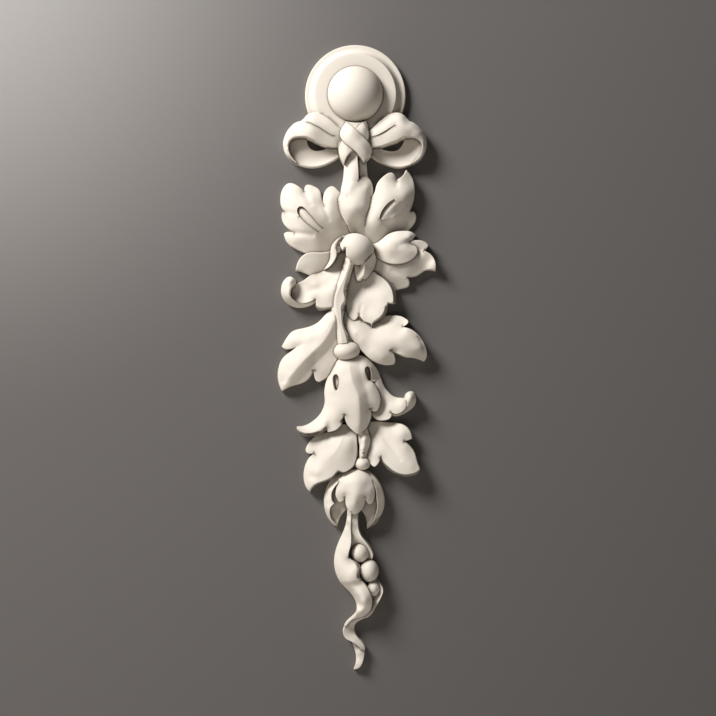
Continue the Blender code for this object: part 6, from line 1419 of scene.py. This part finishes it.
def keep(pieces):
    """Puts finished forms in the collection that is later united into the casting."""
    pieces = list(pieces)
    if not pieces:
        raise RuntimeError("no forms were made")
    group = bpy.data.collections.get(FORMS)
    if group is None:
        group = bpy.data.collections.new(FORMS)
        bpy.context.scene.collection.children.link(group)
    for piece in pieces:
        for holder in list(piece.users_collection):
            holder.objects.unlink(piece)
        group.objects.link(piece)


def paint_crease_shade(piece, width):
    """Stores on every vertex a painted shade that grows near an inner corner between two forms."""
    builder = bmesh.new()
    builder.from_mesh(piece.data)
    corners = []
    for edge in builder.edges:
        rise = abs(edge.verts[0].co.y - edge.verts[1].co.y)
        if len(edge.link_faces) != 2 or rise > STEEP_SHARE * edge.calc_length():
            continue
        if edge.calc_face_angle_signed(0.0) < -CREASE_ANGLE:
            corners.append(edge.verts[0].co.copy())
            corners.append(edge.verts[1].co.copy())
            corners.append((edge.verts[0].co + edge.verts[1].co) / 2)
    tree = KDTree(len(corners))
    for i, corner in enumerate(corners):
        tree.insert(corner, i)
    tree.balance()
    reach = np.array([tree.find(vertex.co)[2] for vertex in builder.verts]) / MM
    builder.free()
    marks = piece.data.attributes.new(PAINTED_SHADE_ATTRIBUTE, "FLOAT", "POINT")
    # Painted shade: a narrow dark line along each inner corner, and a paler, wider shade round it
    line = PAINTED_CREASE_LINE_SHARE * np.exp(-(reach / width) ** 2)
    shade = PAINTED_SHADE_SHARE * np.exp(-(reach / PAINTED_SHADE_WIDTH) ** 2)
    marks.data.foreach_set("value", np.maximum(line, shade))


def length(name, description, default, least, most):
    """A length in metres that the user can change, between two limits."""
    return FloatProperty(
        name=name, description=description, default=default, min=least, max=most, unit="LENGTH"
    )


class OrnamentSizes(bpy.types.PropertyGroup):
    """Sizes of the turned rosette and of the painted shade lines in the inner corners."""

    rosette_radius: length(
        "Rosette radius", "Radius of the rosette's outer rim", 0.040, 0.036, 0.045
    )
    rim_height: length(
        "Rim height", "How far the rosette's rim stands off the wall", 0.006, 0.003, 0.010
    )
    disc_radius: length(
        "Disc radius", "Radius of the flat disc inside the hollow moulding", 0.0325, 0.028, 0.035
    )
    disc_height: length(
        "Disc height", "How far the rosette's disc stands off the wall", 0.0115, 0.008, 0.014
    )
    boss_radius: length(
        "Boss radius", "Radius of the round boss in the middle", 0.022, 0.015, 0.026
    )
    boss_height: length(
        "Boss height", "How far the top of the boss stands off the wall", 0.029, 0.020, 0.032
    )
    # Half width of the line of painted shade in the inner corners
    painted_crease_line_width: length(
        "Crease width", "Half width of the dark line in an inner corner", 0.0009, 0.0003, 0.003
    )


def colour(name, description, colour_hex):
    """A colour that the user can change, with an sRGB colour as its default."""
    return FloatVectorProperty(
        name=name, description=description, default=linear(colour_hex),
        size=4, min=0.0, max=1.0, subtype="COLOR",
    )


class OrnamentColours(bpy.types.PropertyGroup):
    """Colours of the casting, the room and the light."""

    primer: colour("Primer", "Matt primer on the casting", "e0dcd3")
    primer_warm: colour("Warm primer", "Primer where it lies a little warmer", "dfd9ce")
    # Painted shade: the dark brown that the inner corners are darkened towards
    crease: colour("Creases", "Painted shade in the casting's inner corners", "4a3b2e")
    wall: colour("Wall", "Paint on the wall behind", "6a6867")
    # Painted light: the lighter wall colour of a pool of light near the upper left corner
    wall_painted_light: colour("Lit wall", "Lighter colour painted on for a pool of light", "9d9c9b")
    floor: colour("Floor", "Plain pale floor", "d9d5cf")
    sky: colour("Fill light", "Soft light from all round", "f4f1ee")
    key: colour("Key light", "Light from the upper left", "fffaf6")


class ORNAMENT_OT_rosette(bpy.types.Operator):
    """Models the turned rosette with its round boss"""

    bl_idname = "ornament.rosette"
    bl_label = "Turned rosette"
    bl_options = {"REGISTER", "UNDO"}

    def execute(self, context):
        keep(rosette(context.scene.ornament_sizes))
        return {"FINISHED"}


class ORNAMENT_OT_bow(bpy.types.Operator):
    """Carves both loops of the bow and cuts the gaps that show the wall"""

    bl_idname = "ornament.bow"
    bl_label = "Ribbon bow"
    bl_options = {"REGISTER", "UNDO"}

    def execute(self, context):
        pieces = list(bow())
        gaps = {"left_bow_bowl": LEFT_OPENING, "right_bow_bowl": RIGHT_OPENING}
        for piece in pieces:
            if piece.name in gaps:
                gap = opening(piece.name + "_opening", gaps[piece.name])
                join_solids(piece, [gap], "DIFFERENCE")
        keep(pieces)
        return {"FINISHED"}


class ORNAMENT_OT_knot(bpy.types.Operator):
    """Carves the crossed bands of the knot"""

    bl_idname = "ornament.knot"
    bl_label = "Knot"
    bl_options = {"REGISTER", "UNDO"}

    def execute(self, context):
        keep(knot())
        return {"FINISHED"}


class ORNAMENT_OT_upper_stem(bpy.types.Operator):
    """Carves the two ribbon ends that hang from the knot"""

    bl_idname = "ornament.upper_stem"
    bl_label = "Ribbon ends"
    bl_options = {"REGISTER", "UNDO"}

    def execute(self, context):
        keep(upper_stem())
        return {"FINISHED"}


class ORNAMENT_OT_flower(bpy.types.Operator):
    """Carves the ring of leaves behind the hanging bud"""

    bl_idname = "ornament.flower"
    bl_label = "Upper leaves"
    bl_options = {"REGISTER", "UNDO"}

    def execute(self, context):
        keep(flower())
        return {"FINISHED"}


class ORNAMENT_OT_petals(bpy.types.Operator):
    """Carves the two open petals and the scroll"""

    bl_idname = "ornament.petals"
    bl_label = "Open petals"
    bl_options = {"REGISTER", "UNDO"}

    def execute(self, context):
        keep(petals())
        return {"FINISHED"}


class ORNAMENT_OT_hanging_bud(bpy.types.Operator):
    """Carves the bud with its sepals and its stem"""

    bl_idname = "ornament.hanging_bud"
    bl_label = "Hanging bud"
    bl_options = {"REGISTER", "UNDO"}

    def execute(self, context):
        keep(hanging_bud())
        return {"FINISHED"}


class ORNAMENT_OT_middle_leaves(bpy.types.Operator):
    """Carves the middle pair of leaves and the collar"""

    bl_idname = "ornament.middle_leaves"
    bl_label = "Middle leaves"
    bl_options = {"REGISTER", "UNDO"}

    def execute(self, context):
        keep(middle_leaves())
        return {"FINISHED"}


class ORNAMENT_OT_bell_flower(bpy.types.Operator):
    """Carves the bell-shaped flower with its curled petal"""

    bl_idname = "ornament.bell_flower"
    bl_label = "Bell flower"
    bl_options = {"REGISTER", "UNDO"}

    def execute(self, context):
        keep(bell_flower())
        return {"FINISHED"}


class ORNAMENT_OT_lower_leaves(bpy.types.Operator):
    """Carves the lower pair of leaves, their stem and the small bead"""

    bl_idname = "ornament.lower_leaves"
    bl_label = "Lower leaves"
    bl_options = {"REGISTER", "UNDO"}

    def execute(self, context):
        keep(lower_leaves())
        return {"FINISHED"}


class ORNAMENT_OT_small_bud(bpy.types.Operator):
    """Carves the small bud with its split cup"""

    bl_idname = "ornament.small_bud"
    bl_label = "Small bud"
    bl_options = {"REGISTER", "UNDO"}

    def execute(self, context):
        keep(small_bud())
        return {"FINISHED"}


class ORNAMENT_OT_pea_pod(bpy.types.Operator):
    """Carves the pod with three peas and its curling end"""

    bl_idname = "ornament.pea_pod"
    bl_label = "Pea pod"
    bl_options = {"REGISTER", "UNDO"}

    def execute(self, context):
        keep(pea_pod())
        return {"FINISHED"}


class ORNAMENT_OT_cast(bpy.types.Operator):
    """Unites the forms into one casting, cuts its back flat and gives it its finish"""

    bl_idname = "ornament.cast"
    bl_label = "Cast and finish"

    def execute(self, context):
        group = bpy.data.collections[FORMS]
        pieces = list(group.objects)
        ornament = join_solids(pieces[0], pieces[1:], "UNION")
        deselect()
        bpy.ops.mesh.primitive_cube_add(size=CUTTER_SIZE, location=(0.0, CUTTER_SIZE / 2, 0.0))
        back = context.active_object
        bpy.ops.object.transform_apply(location=True, rotation=True, scale=True)
        join_solids(ornament, [back], "DIFFERENCE")
        ornament.name = "cast_ornament"
        if not ornament.data.polygons:
            raise RuntimeError("the casting came out empty")
        # Paints shade into the inner corners, as a vertex attribute that the finish reads
        paint_crease_shade(ornament, context.scene.ornament_sizes.painted_crease_line_width / MM)
        # The Booleans leave an empty slot, which has to go before the finish comes
        ornament.data.materials.clear()
        ornament.data.materials.append(primed_polyurethane(context.scene.ornament_colours))
        make_active(ornament)
        bpy.ops.object.shade_smooth_by_angle(angle=SMOOTH_ANGLE)
        group.objects.unlink(ornament)
        context.scene.collection.objects.link(ornament)
        bpy.data.collections.remove(group)
        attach(ornament, "root")
        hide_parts(NODE)
        return {"FINISHED"}


class ORNAMENT_OT_stage(bpy.types.Operator):
    """Adds the wall, the floor, the light and the camera"""

    bl_idname = "ornament.stage"
    bl_label = "Stage"
    bl_options = {"REGISTER", "UNDO"}

    def execute(self, context):
        scene = context.scene
        colours = scene.ornament_colours
        floor_level = CAD_BOX[0][2] - FLOOR_GAP
        deselect()
        bpy.ops.mesh.primitive_plane_add(
            size=ROOM_SIZE, location=(0.0, -WALL_SET, floor_level + ROOM_SIZE / 2),
            rotation=(math.radians(90), 0, 0),
        )
        wall = context.active_object
        wall.name = "wall_backdrop"
        wall.data.materials.append(painted_wall(colours))
        deselect()
        bpy.ops.mesh.primitive_plane_add(
            size=ROOM_SIZE, location=(0.0, -WALL_SET - ROOM_SIZE / 2, floor_level)
        )
        floor = context.active_object
        floor.name = "floor"
        floor.data.materials.append(matt_paint("pale floor", colours.floor))
        for piece in (wall, floor):
            make_active(piece)
            bpy.ops.object.transform_apply(location=True, rotation=True, scale=True)

        world = bpy.data.worlds.new("studio")
        scene.world = world
        world.use_nodes = True
        background = world.node_tree.nodes["Background"]
        background.inputs["Color"].default_value = tuple(colours.sky)
        background.inputs["Strength"].default_value = FILL_STRENGTH

        for name, toward, far, size, power in LAMPS:
            place = Vector(toward).normalized() * far
            bpy.ops.object.light_add(type="AREA", location=place)
            lamp = context.active_object
            lamp.name = name
            lamp.data.shape = "DISK"
            lamp.data.size = size
            lamp.data.energy = power
            lamp.data.color = tuple(colours.key)[:3]
            lamp.rotation_euler = (-place).to_track_quat("-Z", "Y").to_euler()

        bpy.ops.object.camera_add(
            location=(CAMERA_X, -CAMERA_DISTANCE, CAMERA_Z), rotation=(math.radians(90), 0, 0)
        )
        camera = context.active_object
        camera.name = "front_camera"
        camera.data.lens = camera.data.sensor_width * CAMERA_DISTANCE / VIEW_WIDTH
        scene.camera = camera
        scene.view_settings.view_transform = "Standard"
        return {"FINISHED"}


STEPS = (
    ORNAMENT_OT_rosette, ORNAMENT_OT_bow, ORNAMENT_OT_knot, ORNAMENT_OT_upper_stem,
    ORNAMENT_OT_flower, ORNAMENT_OT_petals, ORNAMENT_OT_hanging_bud,
    ORNAMENT_OT_middle_leaves, ORNAMENT_OT_bell_flower, ORNAMENT_OT_lower_leaves,
    ORNAMENT_OT_small_bud, ORNAMENT_OT_pea_pod, ORNAMENT_OT_cast, ORNAMENT_OT_stage,
)


class ORNAMENT_PT_panel(bpy.types.Panel):
    """Lists the sizes, the colours and the steps of making in order"""

    bl_label = "Drop ornament"
    bl_space_type = "VIEW_3D"
    bl_region_type = "UI"
    bl_category = "Ornament"

    def draw(self, context):
        for group in (context.scene.ornament_sizes, context.scene.ornament_colours):
            for key in type(group).__annotations__:
                self.layout.prop(group, key)
        for step in STEPS:
            self.layout.operator(step.bl_idname)


CLASSES = (OrnamentSizes, OrnamentColours, *STEPS, ORNAMENT_PT_panel)


def register():
    for entry in CLASSES:
        bpy.utils.register_class(entry)
    bpy.types.Scene.ornament_sizes = PointerProperty(type=OrnamentSizes)
    bpy.types.Scene.ornament_colours = PointerProperty(type=OrnamentColours)


def unregister():
    del bpy.types.Scene.ornament_colours
    del bpy.types.Scene.ornament_sizes
    for entry in reversed(CLASSES):
        bpy.utils.unregister_class(entry)


def main():
    register()
    bpy.ops.ornament.rosette()
    bpy.ops.ornament.bow()
    bpy.ops.ornament.knot()
    bpy.ops.ornament.upper_stem()
    bpy.ops.ornament.flower()
    bpy.ops.ornament.petals()
    bpy.ops.ornament.hanging_bud()
    bpy.ops.ornament.middle_leaves()
    bpy.ops.ornament.bell_flower()
    bpy.ops.ornament.lower_leaves()
    bpy.ops.ornament.small_bud()
    bpy.ops.ornament.pea_pod()
    bpy.ops.ornament.cast()
    bpy.ops.ornament.stage()


if __name__ == "__main__":
    main()
